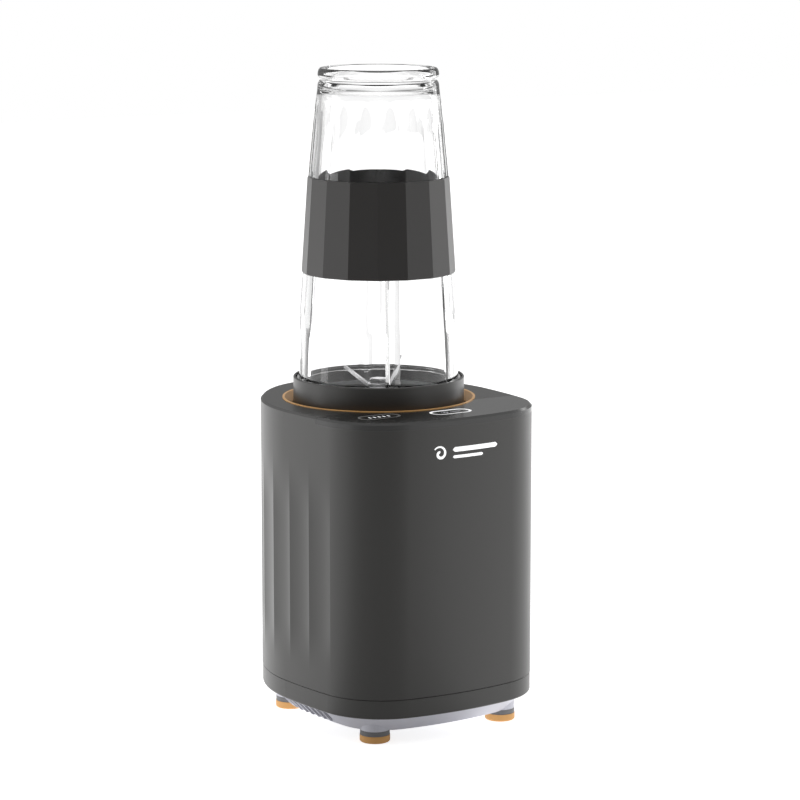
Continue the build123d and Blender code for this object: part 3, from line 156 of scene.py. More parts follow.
# what a look through clear plastic meets: white ahead, greyer off to either side
BACKDROP_TONES = [(0.0, 1.0), (0.10, 0.99), (0.22, 0.88), (0.40, 0.62), (0.70, 0.38), (1.0, 0.30)]
view = direction.outputs["Generated"]
room_tones = tone_ramp(room, ROOM_TONES, share_towards(room, view, towards_camera))
room.links.new(room_tones.outputs["Color"], room_light.inputs["Color"])
backdrop_tones = tone_ramp(room, BACKDROP_TONES, share_off(room, view, sideways))
see_through = room.nodes.new("ShaderNodeBackground")
room.links.new(backdrop_tones.outputs["Color"], see_through.inputs["Color"])
plain_white = room.nodes.new("ShaderNodeBackground")
plain_white.inputs["Color"].default_value = (1.0, 1.0, 1.0, 1)
path = room.nodes.new("ShaderNodeLightPath")
through = room.nodes.new("ShaderNodeMixShader")
room.links.new(path.outputs["Is Transmission Ray"], through.inputs["Fac"])
room.links.new(room_light.outputs["Background"], through.inputs[1])
room.links.new(see_through.outputs["Background"], through.inputs[2])
straight = room.nodes.new("ShaderNodeMixShader")
room.links.new(path.outputs["Is Camera Ray"], straight.inputs["Fac"])
room.links.new(through.outputs["Shader"], straight.inputs[1])
room.links.new(plain_white.outputs["Background"], straight.inputs[2])
room.links.new(straight.outputs["Shader"], room.nodes["World Output"].inputs["Surface"])

# %% [markdown]
# The floor is matt and pale. It gives off a little light of its own, as a lit white table does, which
# keeps the shadow under the feet soft. Upright walls mirror the floor more than the room, because the
# eye looks down on them, so the floor's own light follows the same bright and dark sides as the room's.

# %% Floor
FLOOR_SIZE = 8.0
FLOOR_GLOW = 0.78              # as the eye sees it
FLOOR_TONES = [(0.0, 1.1), (0.18, 1.5), (0.33, 1.8), (0.50, 1.9), (0.66, 1.7), (0.78, 1.2), (0.88, 0.35),
               (1.0, 0.1)]     # as the walls mirror it, from behind the blender round to the camera
floor_mesh = bpy.data.meshes.new("studio_floor")
sheet = bmesh.new()
bmesh.ops.create_grid(sheet, x_segments=1, y_segments=1, size=FLOOR_SIZE / 2)
sheet.to_mesh(floor_mesh)
sheet.free()
floor = bpy.data.objects.new("studio_floor", floor_mesh)
scene.collection.objects.link(floor)

floor_finish = bpy.data.materials.new("studio_floor")
floor_finish.use_nodes = True
floor_tree = floor_finish.node_tree
floor_shader = floor_tree.nodes["Principled BSDF"]
floor_shader.inputs["Base Color"].default_value = (0.60, 0.60, 0.60, 1)
floor_shader.inputs["Roughness"].default_value = 1.0
floor_shader.inputs["Specular IOR Level"].default_value = 0.0
floor_shader.inputs["Emission Color"].default_value = (1, 1, 1, 1)
spot = floor_tree.nodes.new("ShaderNodeTexCoord")
from_axis = floor_tree.nodes.new("ShaderNodeVectorMath")
from_axis.operation = "SUBTRACT"
from_axis.inputs[1].default_value = axis
floor_tree.links.new(spot.outputs["Object"], from_axis.inputs[0])
heading = floor_tree.nodes.new("ShaderNodeVectorMath")
heading.operation = "NORMALIZE"
floor_tree.links.new(from_axis.outputs["Vector"], heading.inputs[0])
outward = heading.outputs["Vector"]
mirrored = tone_ramp(floor_tree, FLOOR_TONES, share_towards(floor_tree, outward, towards_camera))
beyond = tone_ramp(floor_tree, BACKDROP_TONES, share_off(floor_tree, outward, sideways))
dimmed = floor_tree.nodes.new("ShaderNodeMath")
dimmed.operation = "MULTIPLY"
dimmed.inputs[1].default_value = FLOOR_GLOW
floor_tree.links.new(beyond.outputs["Color"], dimmed.inputs[0])
floor_path = floor_tree.nodes.new("ShaderNodeLightPath")
glow = floor_tree.nodes.new("ShaderNodeMix")
floor_tree.links.new(floor_path.outputs["Is Transmission Ray"], glow.inputs["Factor"])
floor_tree.links.new(mirrored.outputs["Color"], glow.inputs["A"])
floor_tree.links.new(dimmed.outputs["Value"], glow.inputs["B"])
seen_glow = floor_tree.nodes.new("ShaderNodeMix")
floor_tree.links.new(floor_path.outputs["Is Camera Ray"], seen_glow.inputs["Factor"])
floor_tree.links.new(glow.outputs["Result"], seen_glow.inputs["A"])
seen_glow.inputs["B"].default_value = FLOOR_GLOW
floor_tree.links.new(seen_glow.outputs["Result"], floor_shader.inputs["Emission Strength"])
floor_mesh.materials.append(floor_finish)


# %% Lamps
def softbox(name, place, aim, width, height, power):
    """A rectangular lamp at one point that faces another."""
    lamp_data = bpy.data.lights.new(name, "AREA")
    lamp_data.shape = "RECTANGLE"
    lamp_data.size = width
    lamp_data.size_y = height
    lamp_data.energy = power
    lamp = bpy.data.objects.new(name, lamp_data)
    lamp.location = place
    lamp.rotation_euler = (Vector(aim) - Vector(place)).to_track_quat("-Z", "Y").to_euler()
    scene.collection.objects.link(lamp)


LAMP_AIM = (0, 0, 0.15)
softbox("right_softbox", (1.7, 0.3, 0.5), LAMP_AIM, 0.5, 1.2, 5)
softbox("left_softbox", (-1.6, 1.0, 0.5), LAMP_AIM, 0.5, 1.2, 5)

# %% [markdown]
# ## Shared finishes
# Moulded plastic is never perfectly even. A fine grain breaks the highlights, and a slow mottling varies
# the colour and the gloss. Each effect is a node group, built once.


# %% Node group helpers
def new_group(name, inputs, outputs):
    """An empty shader group with named sockets and its two end nodes."""
    group = bpy.data.node_groups.new(name, "ShaderNodeTree")
    for label, kind, value in inputs:
        socket = group.interface.new_socket(name=label, in_out="INPUT", socket_type=kind)
        socket.default_value = value
    for label, kind in outputs:
        group.interface.new_socket(name=label, in_out="OUTPUT", socket_type=kind)
    start = group.nodes.new("NodeGroupInput")
    end = group.nodes.new("NodeGroupOutput")
    return group, start, end


FLOAT = "NodeSocketFloat"
COLOUR = "NodeSocketColor"
VECTOR = "NodeSocketVector"

# %% [markdown]
# Spark-eroded moulds leave a grain of about a quarter of a millimetre on satin plastic. Noise read at
# two sizes gives that grain its height, and the slower one also varies the colour and the roughness.

# %% Grain group
grain, grain_in, grain_out = new_group(
    "moulded_grain",
    [("Scale", FLOAT, 3500.0), ("Colour", COLOUR, (0.1, 0.1, 0.1, 1)), ("Mottle", FLOAT, 0.06),
     ("Roughness", FLOAT, 0.4), ("Variation", FLOAT, 0.05)],
    [("Height", FLOAT), ("Colour", COLOUR), ("Roughness", FLOAT)])
grain_place = grain.nodes.new("ShaderNodeTexCoord")
fine = grain.nodes.new("ShaderNodeTexNoise")
fine.inputs["Detail"].default_value = 2.0
grain.links.new(grain_place.outputs["Object"], fine.inputs["Vector"])
grain.links.new(grain_in.outputs["Scale"], fine.inputs["Scale"])
grain.links.new(fine.outputs["Fac"], grain_out.inputs["Height"])
slow = grain.nodes.new("ShaderNodeTexNoise")
slow.inputs["Scale"].default_value = 22.0
slow.inputs["Detail"].default_value = 4.0
grain.links.new(grain_place.outputs["Object"], slow.inputs["Vector"])
centred = grain.nodes.new("ShaderNodeMath")
centred.operation = "SUBTRACT"
centred.inputs[1].default_value = 0.5
grain.links.new(slow.outputs["Fac"], centred.inputs[0])
gloss_shift = grain.nodes.new("ShaderNodeMath")
gloss_shift.operation = "MULTIPLY_ADD"
grain.links.new(centred.outputs["Value"], gloss_shift.inputs[0])
grain.links.new(grain_in.outputs["Variation"], gloss_shift.inputs[1])
grain.links.new(grain_in.outputs["Roughness"], gloss_shift.inputs[2])
grain.links.new(gloss_shift.outputs["Value"], grain_out.inputs["Roughness"])
tone = grain.nodes.new("ShaderNodeMath")
tone.operation = "MULTIPLY_ADD"
grain.links.new(centred.outputs["Value"], tone.inputs[0])
grain.links.new(grain_in.outputs["Mottle"], tone.inputs[1])
tone.inputs[2].default_value = 1.0
toned = grain.nodes.new("ShaderNodeVectorMath")
toned.operation = "SCALE"
grain.links.new(grain_in.outputs["Colour"], toned.inputs[0])
grain.links.new(tone.outputs["Value"], toned.inputs["Scale"])
grain.links.new(toned.outputs["Vector"], grain_out.inputs["Colour"])


# %% Plastic and rubber maker
def moulded(name, colour, roughness, grain_scale=3500.0, bump=0.04, bump_depth=0.00002, mottle=0.05,
            variation=0.06, coat=0.0, specular=0.5, **plain):
    """A moulded plastic or rubber: colour, gloss and grain from the shared group."""
    finish = bpy.data.materials.new(name)
    finish.use_nodes = True
    tree = finish.node_tree
    shader = tree.nodes["Principled BSDF"]
    effect = tree.nodes.new("ShaderNodeGroup")
    effect.node_tree = grain
    effect.inputs["Scale"].default_value = grain_scale
    effect.inputs["Colour"].default_value = (*colour, 1)
    effect.inputs["Mottle"].default_value = mottle
    effect.inputs["Roughness"].default_value = roughness
    effect.inputs["Variation"].default_value = variation
    tree.links.new(effect.outputs["Colour"], shader.inputs["Base Color"])
    tree.links.new(effect.outputs["Roughness"], shader.inputs["Roughness"])
    relief = tree.nodes.new("ShaderNodeBump")
    relief.inputs["Strength"].default_value = bump
    relief.inputs["Distance"].default_value = bump_depth
    tree.links.new(effect.outputs["Height"], relief.inputs["Height"])
    tree.links.new(relief.outputs["Normal"], shader.inputs["Normal"])
    shader.inputs["Specular IOR Level"].default_value = specular
    shader.inputs["Coat Weight"].default_value = coat
    for socket, value in plain.items():
        shader.inputs[socket.replace("_", " ")].default_value = value
    return finish


charcoal = moulded("charcoal_plastic", (0.033, 0.032, 0.030), 0.34)
gloss = moulded("gloss_charcoal", (0.024, 0.024, 0.023), 0.20, bump=0.0, variation=0.02)
grip = moulded("grip_plastic", (0.028, 0.026, 0.025), 0.36)
tray_grey = moulded("light_grey_plastic", (0.60, 0.60, 0.66), 0.45)
orange_rubber = moulded("orange_rubber", (0.70, 0.37, 0.12), 0.55, bump=0.1)
orange_plastic = moulded("orange_plastic", (0.90, 0.50, 0.18), 0.35)
black_rubber = moulded("black_rubber", (0.018, 0.018, 0.018), 0.65, bump=0.15)
black_plastic = moulded("black_plastic", (0.025, 0.025, 0.026), 0.45)
circuit = moulded("circuit_board", (0.02, 0.12, 0.05), 0.35, mottle=0.2)
carbon = moulded("pressed_carbon", (0.03, 0.03, 0.032), 0.6, grain_scale=1500, bump=0.2)

# %% [markdown]
# The lit ring round the blend key is a clear white lens with a lamp under it, so it glows faintly.
# The other ring is the same moulding with its lamp off, and reads as a thin grey line.

# %% Key lenses
LENS_GLOW = 0.6
white_lens = moulded("white_lens", (0.85, 0.87, 0.88), 0.3, bump=0.0, Emission_Color=(1, 1, 1, 1),
                     Emission_Strength=LENS_GLOW)
dim_lens = moulded("dim_lens", (0.22, 0.22, 0.215), 0.3, bump=0.0)

# %% [markdown]
# Metals: brushed blades and shaft, cast brackets, brass brush holders. Brushing is noise stretched
# along one direction, which shows as fine parallel streaks in both the height and the roughness.

# %% Brushed metal group
brushing, brushing_in, brushing_out = new_group(
    "brushed_lines",
    [("Stretch", VECTOR, (400.0, 400.0, 6000.0)), ("Roughness", FLOAT, 0.25), ("Variation", FLOAT, 0.15)],
    [("Height", FLOAT), ("Roughness", FLOAT)])
brush_place = brushing.nodes.new("ShaderNodeTexCoord")
stretch = brushing.nodes.new("ShaderNodeVectorMath")
stretch.operation = "MULTIPLY"
brushing.links.new(brush_place.outputs["Object"], stretch.inputs[0])
brushing.links.new(brushing_in.outputs["Stretch"], stretch.inputs[1])
streaks = brushing.nodes.new("ShaderNodeTexNoise")
streaks.inputs["Scale"].default_value = 1.0
brushing.links.new(stretch.outputs["Vector"], streaks.inputs["Vector"])
brushing.links.new(streaks.outputs["Fac"], brushing_out.inputs["Height"])
streak_gloss = brushing.nodes.new("ShaderNodeMath")
streak_gloss.operation = "MULTIPLY_ADD"
brushing.links.new(streaks.outputs["Fac"], streak_gloss.inputs[0])
brushing.links.new(brushing_in.outputs["Variation"], streak_gloss.inputs[1])
brushing.links.new(brushing_in.outputs["Roughness"], streak_gloss.inputs[2])
brushing.links.new(streak_gloss.outputs["Value"], brushing_out.inputs["Roughness"])


# %% Metal maker
BRUSH_DEPTH = 0.00001


def metal(name, colour, roughness, stretched=(400.0, 400.0, 6000.0), variation=0.15, bump=0.05):
    """A metal with its own brushing direction."""
    finish = bpy.data.materials.new(name)
    finish.use_nodes = True
    tree = finish.node_tree
    shader = tree.nodes["Principled BSDF"]
    shader.inputs["Base Color"].default_value = (*colour, 1)
    shader.inputs["Metallic"].default_value = 1.0
    effect = tree.nodes.new("ShaderNodeGroup")
    effect.node_tree = brushing
    effect.inputs["Stretch"].default_value = stretched
    effect.inputs["Roughness"].default_value = roughness
    effect.inputs["Variation"].default_value = variation
    tree.links.new(effect.outputs["Roughness"], shader.inputs["Roughness"])
    relief = tree.nodes.new("ShaderNodeBump")
    relief.inputs["Strength"].default_value = bump
    relief.inputs["Distance"].default_value = BRUSH_DEPTH
    tree.links.new(effect.outputs["Height"], relief.inputs["Height"])
    tree.links.new(relief.outputs["Normal"], shader.inputs["Normal"])
    return finish


plated_steel = metal("plated_steel", (0.60, 0.60, 0.61), 0.22)
blade_steel = metal("blade_steel", (0.74, 0.74, 0.75), 0.14, (6000.0, 500.0, 500.0), 0.12)
laminations = metal("laminated_core", (0.20, 0.20, 0.21), 0.45, (60.0, 60.0, 9000.0), 0.2, 0.4)
cast_aluminium = metal("cast_aluminium", (0.62, 0.63, 0.64), 0.38, (900.0, 900.0, 900.0), 0.2, 0.2)
brass = metal("machined_brass", (0.78, 0.56, 0.27), 0.25)
copper_wire = metal("enamelled_copper", (0.62, 0.26, 0.10), 0.28, (1200.0, 1200.0, 1200.0), 0.1, 0.1)

# %% [markdown]
# The cup is a clear copolyester, water-white and very smooth. Its shader is plain glass with the
# index of that plastic. The gasket under its mouth is milky silicone.

# %% Clear plastic and silicone
CUP_INDEX = 1.45
clear_plastic = bpy.data.materials.new("clear_plastic")
clear_plastic.use_nodes = True
clear_shader = clear_plastic.node_tree.nodes["Principled BSDF"]
clear_shader.inputs["Base Color"].default_value = (1.0, 1.0, 1.0, 1)
clear_shader.inputs["Roughness"].default_value = 0.0
clear_shader.inputs["IOR"].default_value = CUP_INDEX
clear_shader.inputs["Transmission Weight"].default_value = 1.0
silicone = moulded("clear_silicone", (0.70, 0.72, 0.73), 0.35, bump=0.0, Transmission_Weight=0.4, IOR=1.41)

finishes = {
    "charcoal_plastic": charcoal, "gloss_charcoal": gloss, "charcoal_grip": grip,
    "light_grey_plastic": tray_grey, "orange_rubber": orange_rubber, "orange_plastic": orange_plastic,
    "black_rubber": black_rubber, "black_plastic": black_plastic, "white_lens": white_lens,
    "dim_lens": dim_lens, "circuit_board": circuit, "steel": plated_steel, "blade_steel": blade_steel,
    "lamination_steel": laminations, "copper_winding": copper_wire, "aluminium_casting": cast_aluminium,
    "brass": brass, "carbon": carbon, "clear_silicone": silicone, "clear_plastic": clear_plastic,
}

# %% [markdown]
# Every CAD node keeps its mesh and takes the finish of its slot in the record.

# %% Finish the CAD nodes
slot_of = {s["node"]: s["material_slot"] for s in frame["record"]["subparts"]}
for name, node in nodes.items():
    finish = finishes[slot_of[name]]
    node.data.materials.clear()
    node.data.materials.append(finish)
print("finished", len(nodes), "nodes with", len(finishes), "materials")

# %% [markdown]
# ## New pieces
# One helper puts a finished bmesh into the scene: it cleans the mesh and shades it, gives it the finish of
# its slot, hides the CAD nodes it stands for, and hangs it on the body it rides on.


# %% Piece helper
WELD = 0.000001                # points closer than this are one


def piece(name, mesh_work, body, slot_name, stands_for=(), crease=None):
    """Turns a bmesh into a named object that rides on a body."""
    bmesh.ops.remove_doubles(mesh_work, verts=mesh_work.verts, dist=WELD)
    bmesh.ops.recalc_face_normals(mesh_work, faces=mesh_work.faces)
    mesh = bpy.data.meshes.new(name)
    for face in mesh_work.faces:
        face.smooth = True
    if crease is not None:
        for edge in mesh_work.edges:
            if len(edge.link_faces) == 2 and edge.calc_face_angle() > math.radians(crease):
                edge.smooth = False
    mesh_work.to_mesh(mesh)
    mesh_work.free()
    mesh.materials.append(finishes[slot_name])
    made = bpy.data.objects.new(name, mesh)
    scene.collection.objects.link(made)
    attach(made, body)
    if stands_for:
        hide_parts(*stands_for)
    print(name, len(mesh.polygons), "faces on", body)
    return made

# %% [markdown]
# ## Cup
# The cup is blown and pressed in clear copolyester. Its wall is one smooth turned shape, so it starts as
# half an outline that is spun once round. The sixteen facets are pressed into the turned wall: each is
# deepest in the middle of the cup and runs out to nothing at both ends, so the wall's points are pulled in
# to a flat wherever the flat lies deeper than the round.

# %% Cup measures
WALL_LOW = (44.7, 7.5)         # radius and height above the mouth, in millimetres
WALL_MIDDLE = (42.4, 78.9)
WALL_HIGH = (33.9, 167.9)
CAVITY_LOW = (41.9, 0.0)
CAVITY_MIDDLE = (39.0, 66.5)
CAVITY_HIGH = (31.6, 162.3)
FACETS = 16
COLUMNS = 12                   # columns of faces in each facet
SLEEVE_SEAT = 1.3              # thickness of the grip sleeve
sleeve_from = (sleeve_low.z - cup_low.z) / MM
sleeve_to = (sleeve_high.z - cup_low.z) / MM


# %% Cup curves
def through_three(low, middle, high, height):
    """Radius at this height of the arc through three points."""
    (r1, z1), (r2, z2), (r3, z3) = low, middle, high
    turn = 2 * (r1 * (z2 - z3) + r2 * (z3 - z1) + r3 * (z1 - z2))
    squares = [r * r + z * z for r, z in (low, middle, high)]
    centre_r = (squares[0] * (z2 - z3) + squares[1] * (z3 - z1) + squares[2] * (z1 - z2)) / turn
    centre_z = (squares[0] * (r3 - r2) + squares[1] * (r1 - r3) + squares[2] * (r2 - r1)) / turn
    radius = math.hypot(r1 - centre_r, z1 - centre_z)
    return centre_r + math.copysign(math.sqrt(radius**2 - (height - centre_z) ** 2), r2 - centre_r)


def wall_radius(height):
    """Outer wall of the turned cup."""
    return through_three(WALL_LOW, WALL_MIDDLE, WALL_HIGH, height)


def cavity_radius(height):
    """Inner wall of the turned cup."""
    return through_three(CAVITY_LOW, CAVITY_MIDDLE, CAVITY_HIGH, height)


def eased(points, height):
    """Value between the given (height, value) points, with smooth changes of slope."""
    if height <= points[0][0] or height >= points[-1][0]:
        return 0.0
    for i in range(len(points) - 1):
        (low, a), (high, b) = points[i], points[i + 1]
        if height <= high:
            before = points[max(i - 1, 0)]
            after = points[min(i + 2, len(points) - 1)]
            slope_a = (b - before[1]) / (high - before[0]) if i else 0.0
            slope_b = (after[1] - a) / (after[0] - low) if i + 2 < len(points) else 0.0
            t = (height - low) / (high - low)
            span = high - low
            return ((2 * t**3 - 3 * t**2 + 1) * a + (t**3 - 2 * t**2 + t) * span * slope_a
                    + (3 * t**2 - 2 * t**3) * b + (t**3 - t**2) * span * slope_b)
    return 0.0


def steps(low, high, count):
    """Evenly spaced values, both ends included."""
    return [low + (high - low) * i / count for i in range(count + 1)]


# %% Cup outline
SLEEVE_STEP = 0.1              # height over which the wall turns from facet to sleeve seat
outer_heights = (steps(WALL_LOW[1], sleeve_from - SLEEVE_STEP, 34) + steps(sleeve_from, sleeve_to, 4)
                 + steps(sleeve_to + SLEEVE_STEP, WALL_HIGH[1], 30))
# the cavity's closed end, the cavity, the mouth and its flange, the wall, then groove and bead
outline = [(0.0, 170.8), (12.0, 170.8), (24.0, 170.8), (26.6, 170.4), (28.9, 169.2), (30.6, 167.2),
           (31.4, 164.8)]
outline += [(cavity_radius(z), z) for z in reversed(steps(0.0, CAVITY_HIGH[1], 60))]
outline += [(42.2, 0.0), (44.3, 0.0), (44.6, 0.3), (44.6, 5.4), (44.9, 5.7), (45.9, 5.7), (46.2, 6.0),
            (46.2, 7.2), (45.9, 7.5), (45.1, 7.5)]
outline += [(wall_radius(z), z) for z in outer_heights]
outline += [(33.75, 169.6), (33.6, 171.2), (33.2, 172.3), (32.75, 172.9), (32.6, 173.5), (32.75, 174.1),
            (33.2, 174.6), (33.6, 175.3), (33.65, 176.6), (33.45, 178.2), (33.0, 179.4), (32.3, 180.1),
            (31.3, 180.3), (30.2, 180.1), (29.4, 179.5), (28.9, 178.3), (28.5, 176.4), (28.1, 175.3),
            (27.2, 174.9), (13.0, 174.9), (0.0, 174.9)]
print("cup outline:", len(outline), "points")

# %% [markdown]
# A full spin with use_merge joins its last column to its first. Both ends of the outline lie on the axis,
# and remove_doubles welds each of those rings of points into one pole.

# %% Spin the cup
cup_mesh = bmesh.new()
ring = [cup_mesh.verts.new((axis.x, axis.y - r * MM, cup_low.z + z * MM)) for r, z in outline]
strip = [cup_mesh.edges.new(pair) for pair in zip(ring, ring[1:])]
bmesh.ops.spin(cup_mesh, geom=ring + strip, cent=axis, axis=(0, 0, 1), angle=math.tau,
               steps=FACETS * COLUMNS, use_merge=True)
bmesh.ops.remove_doubles(cup_mesh, verts=cup_mesh.verts, dist=WELD)

# %% Press the facets and raise the ribs
# height above the mouth and depth of a facet there
FACET_DEPTHS = [(30.3, 0.0), (51.3, 0.9), (68.3, 1.5), (93.3, 1.3), (118.3, 0.95), (141.3, 0.78),
                (163.3, 0.0)]
half_facet = math.pi / FACETS
FACETS_BELOW = 168.0           # the groove and the bead above this stay round
SLEEVE_CORNERS = (43.06, 39.5)     # the sleeve's corner radius at its lower and upper edge
RIB_TURNS = [math.radians(-112.5 + 90 * i) for i in range(4)]
RIB_HALF_WIDTH = 2.0
RIB_SLOPE = 1.6
# height above the mouth and how far a rib stands in there
RIB_HEIGHTS = [(2.0, 0.0), (4.0, 3.2), (70.0, 2.8), (86.5, 2.6), (106.5, 0.0)]
RIBS_LOW = 2.0
RIBS_HIGH = 107.0
OUTER_FROM = 0.8               # a point this far out from the cavity is on the outer wall
CAVITY_WITHIN = 0.3            # and one this close to it is on the cavity


def facet_flat(height):
    """Distance of a facet's flat from the axis, or None where the wall stays round."""
    if sleeve_from <= height <= sleeve_to:
        along = (height - sleeve_from) / (sleeve_to - sleeve_from)
        corner = SLEEVE_CORNERS[0] + (SLEEVE_CORNERS[1] - SLEEVE_CORNERS[0]) * along
        return corner * math.cos(half_facet) - SLEEVE_SEAT
    if FACET_DEPTHS[0][0] < height < FACET_DEPTHS[-1][0]:
        return wall_radius(height) - eased(FACET_DEPTHS, height)
    return None


def rib_height(height):
    """How far a rib stands in from the cavity wall."""
    for (low, a), (high, b) in zip(RIB_HEIGHTS, RIB_HEIGHTS[1:]):
        if low <= height <= high:
            return a + (b - a) * (height - low) / (high - low)
    return 0.0


for vert in cup_mesh.verts:
    across = (vert.co - axis).xy / MM
    height = (vert.co.z - cup_low.z) / MM
    radius = across.length
    turn = math.atan2(across.y, across.x)
    on_wall = radius > cavity_radius(min(height, CAVITY_HIGH[1])) + OUTER_FROM
    if WALL_LOW[1] < height < FACETS_BELOW and on_wall:
        flat = facet_flat(height)
        if flat is not None:
            off_middle = (turn + math.pi / 2 + half_facet) % (2 * half_facet) - half_facet
            pulled = min(radius, flat / math.cos(off_middle))
            vert.co.xy = axis.xy + across * (pulled / radius) * MM
    elif RIBS_LOW < height < RIBS_HIGH and abs(radius - cavity_radius(height)) < CAVITY_WITHIN:
        for rib_turn in RIB_TURNS:
            off = abs((turn - rib_turn + math.pi) % math.tau - math.pi) * radius
            share_in = 1 - min(max((off - RIB_HALF_WIDTH) / RIB_SLOPE, 0), 1)
            if share_in > 0:
                pulled = radius - rib_height(height) * share_in
                vert.co.xy = axis.xy + across * (pulled / radius) * MM

piece("clear_cup", cup_mesh, "cup", "clear_plastic", ["cup"], crease=28)

# %% [markdown]
# ## Housing shell
# The housing is one moulding with a bowed front, soft corners, slightly bowed sides and a round back. Its
# sides carry five shallow flutes. Each flute keeps its width from end to end and only its depth fades, so
# the ridges between flutes stay straight and melt into the wall above and below.

# %% Housing outline
WALL = 2.6                     # thickness of the housing, in millimetres
SEAM = 0.3                     # bevel along the lower seam
HALF_WIDTH = (shell_high.x - shell_low.x) / 2 / MM
FRONT_REACH = (axis.y - shell_low.y) / MM
BACK_REACH = (shell_high.y - axis.y) / MM
SIDE_BOW = 330.0
FRONT_BOW = 187.5
CORNER = 39.0
WIDEST = -8.0                  # where the housing is widest, from the cup axis
REAR_CENTRE = 17.0
rear_radius = BACK_REACH - REAR_CENTRE
narrowing = HALF_WIDTH - rear_radius
flank_radius = HALF_WIDTH - narrowing / 2 + (REAR_CENTRE - WIDEST) ** 2 / (2 * narrowing)
flank_turn = math.atan2(REAR_CENTRE - WIDEST, flank_radius - HALF_WIDTH)
FLUTES = 5
FLUTE_PITCH = 18.6
FLUTE_FIRST = -43.1            # front ridge, along the side from its widest place
FLUTE_DEPTH = 1.05
FLUTE_STEPS = 12
front_centre = Vector((0, FRONT_BOW - FRONT_REACH))
side_centre = Vector((HALF_WIDTH - SIDE_BOW, WIDEST))


def corner_centre():
    """Centre of the corner arc that touches both the bowed front and the bowed side."""
    r_front = FRONT_BOW - CORNER
    r_side = SIDE_BOW - CORNER
    apart = (side_centre - front_centre).length
    along = (r_front**2 - r_side**2 + apart**2) / (2 * apart)
    across = math.sqrt(r_front**2 - along**2)
    line = (side_centre - front_centre) / apart
    return front_centre + line * along + Vector((-line.y, line.x)) * across


corner = corner_centre()
side_turn = math.atan2(corner.y - WIDEST, corner.x - side_centre.x)
front_turn = math.atan2(corner.y - front_centre.y, corner.x)


def arc_points(centre, radius, start, end, count):
    """Points with outward directions along an arc, without its last point."""
    made = []
    for i in range(count):
        turn = start + (end - start) * i / count
        out = Vector((math.cos(turn), math.sin(turn)))
        made.append((Vector(centre) + out * radius, out, 0.0, False))
    return made


def side_point(run, dent=0.0, ridge=False):
    """Point on the right side, this far behind the widest place."""
    if run < first_run:
        centre, radius, turn = corner, CORNER, side_turn + (run - first_run) / CORNER
    else:
        radius = flank_radius if run > 0 else SIDE_BOW
        centre, turn = Vector((HALF_WIDTH - radius, WIDEST)), run / radius
    out = Vector((math.cos(turn), math.sin(turn)))
    return centre + out * radius, out, dent, ridge


# right half from the middle of the front to the middle of the back
half = arc_points(front_centre, FRONT_BOW, -math.pi / 2, front_turn, 12)
first_run = SIDE_BOW * side_turn     # where the side meets the corner; the first flute starts before it
half += arc_points(corner, CORNER, front_turn, side_turn + (FLUTE_FIRST - first_run) / CORNER, 48)
for flute in range(FLUTES):
    for i in range(FLUTE_STEPS):
        part = i / FLUTE_STEPS
        half.append(side_point(FLUTE_FIRST + FLUTE_PITCH * (flute + part), 1 - (2 * part - 1) ** 2, i == 0))
flutes_end = FLUTE_FIRST + FLUTE_PITCH * FLUTES
half.append(side_point(flutes_end, 0.0, True))
half += [side_point(run) for run in steps(flutes_end, flank_radius * flank_turn, 18)[1:-1]]
half += arc_points((0, REAR_CENTRE), rear_radius, flank_turn, math.pi / 2, 28)
back_middle = (Vector((0, BACK_REACH)), Vector((0, 1)), 0.0, False)
left_half = [(Vector((-p.x, p.y)), Vector((-out.x, out.y)), dent, ridge) for p, out, dent, ridge in half[1:]]
shell_outline = half + [back_middle] + left_half[::-1]
print("housing outline:", len(shell_outline), "points")

# %% [markdown]
# The wall is a stack of rings of points. Each ring stands at its own height and is drawn in by the depth
# of the flutes there, and the last two rings are the inside of the wall.

# %% Housing rings
FADE_LOW = (36.0, 64.0)        # heights between which the flutes deepen
FADE_HIGH = (118.0, 156.0)     # heights between which they fade


def fade(height):
    """Share of the flutes' full depth at this height."""
    rise = min(max((height - FADE_LOW[0]) / (FADE_LOW[1] - FADE_LOW[0]), 0), 1)
    fall = min(max((FADE_HIGH[1] - height) / (FADE_HIGH[1] - FADE_HIGH[0]), 0), 1)
    share = min(rise, fall)
    return share * share * (3 - 2 * share)


shell_from = shell_low.z / MM
shell_to = shell_high.z / MM
levels = [(shell_from, SEAM), (shell_from + SEAM, 0.0)]
levels += [(z, 0.0) for z in steps(*FADE_LOW, 16) + steps(*FADE_HIGH, 20)]
levels += [(shell_to, 0.0), (shell_to, WALL), (shell_from, WALL)]
OUTER_LEVELS = len(levels) - 2
shell_mesh = bmesh.new()
rings = []
for level, (z, inset) in enumerate(levels):
    depth = FLUTE_DEPTH * fade(z) if level < OUTER_LEVELS else 0.0
    rings.append([shell_mesh.verts.new((*(axis.xy + (p - out * (inset + depth * dent)) * MM), z * MM))
                  for p, out, dent, ridge in shell_outline])
for lower, upper in zip(rings, rings[1:] + rings[:1]):
    for i in range(len(lower)):
        j = (i + 1) % len(lower)
        shell_mesh.faces.new((lower[i], lower[j], upper[j], upper[i]))
for lower, upper in zip(rings[:OUTER_LEVELS], rings[1:OUTER_LEVELS]):
    for i, (p, out, dent, ridge) in enumerate(shell_outline):
        if ridge:
            shell_mesh.edges.get((lower[i], upper[i])).smooth = False

# %% [markdown]
# Four screw bosses stand inside, each tied to the wall by a rib. They are hidden, but a look into the
# empty housing should find them.

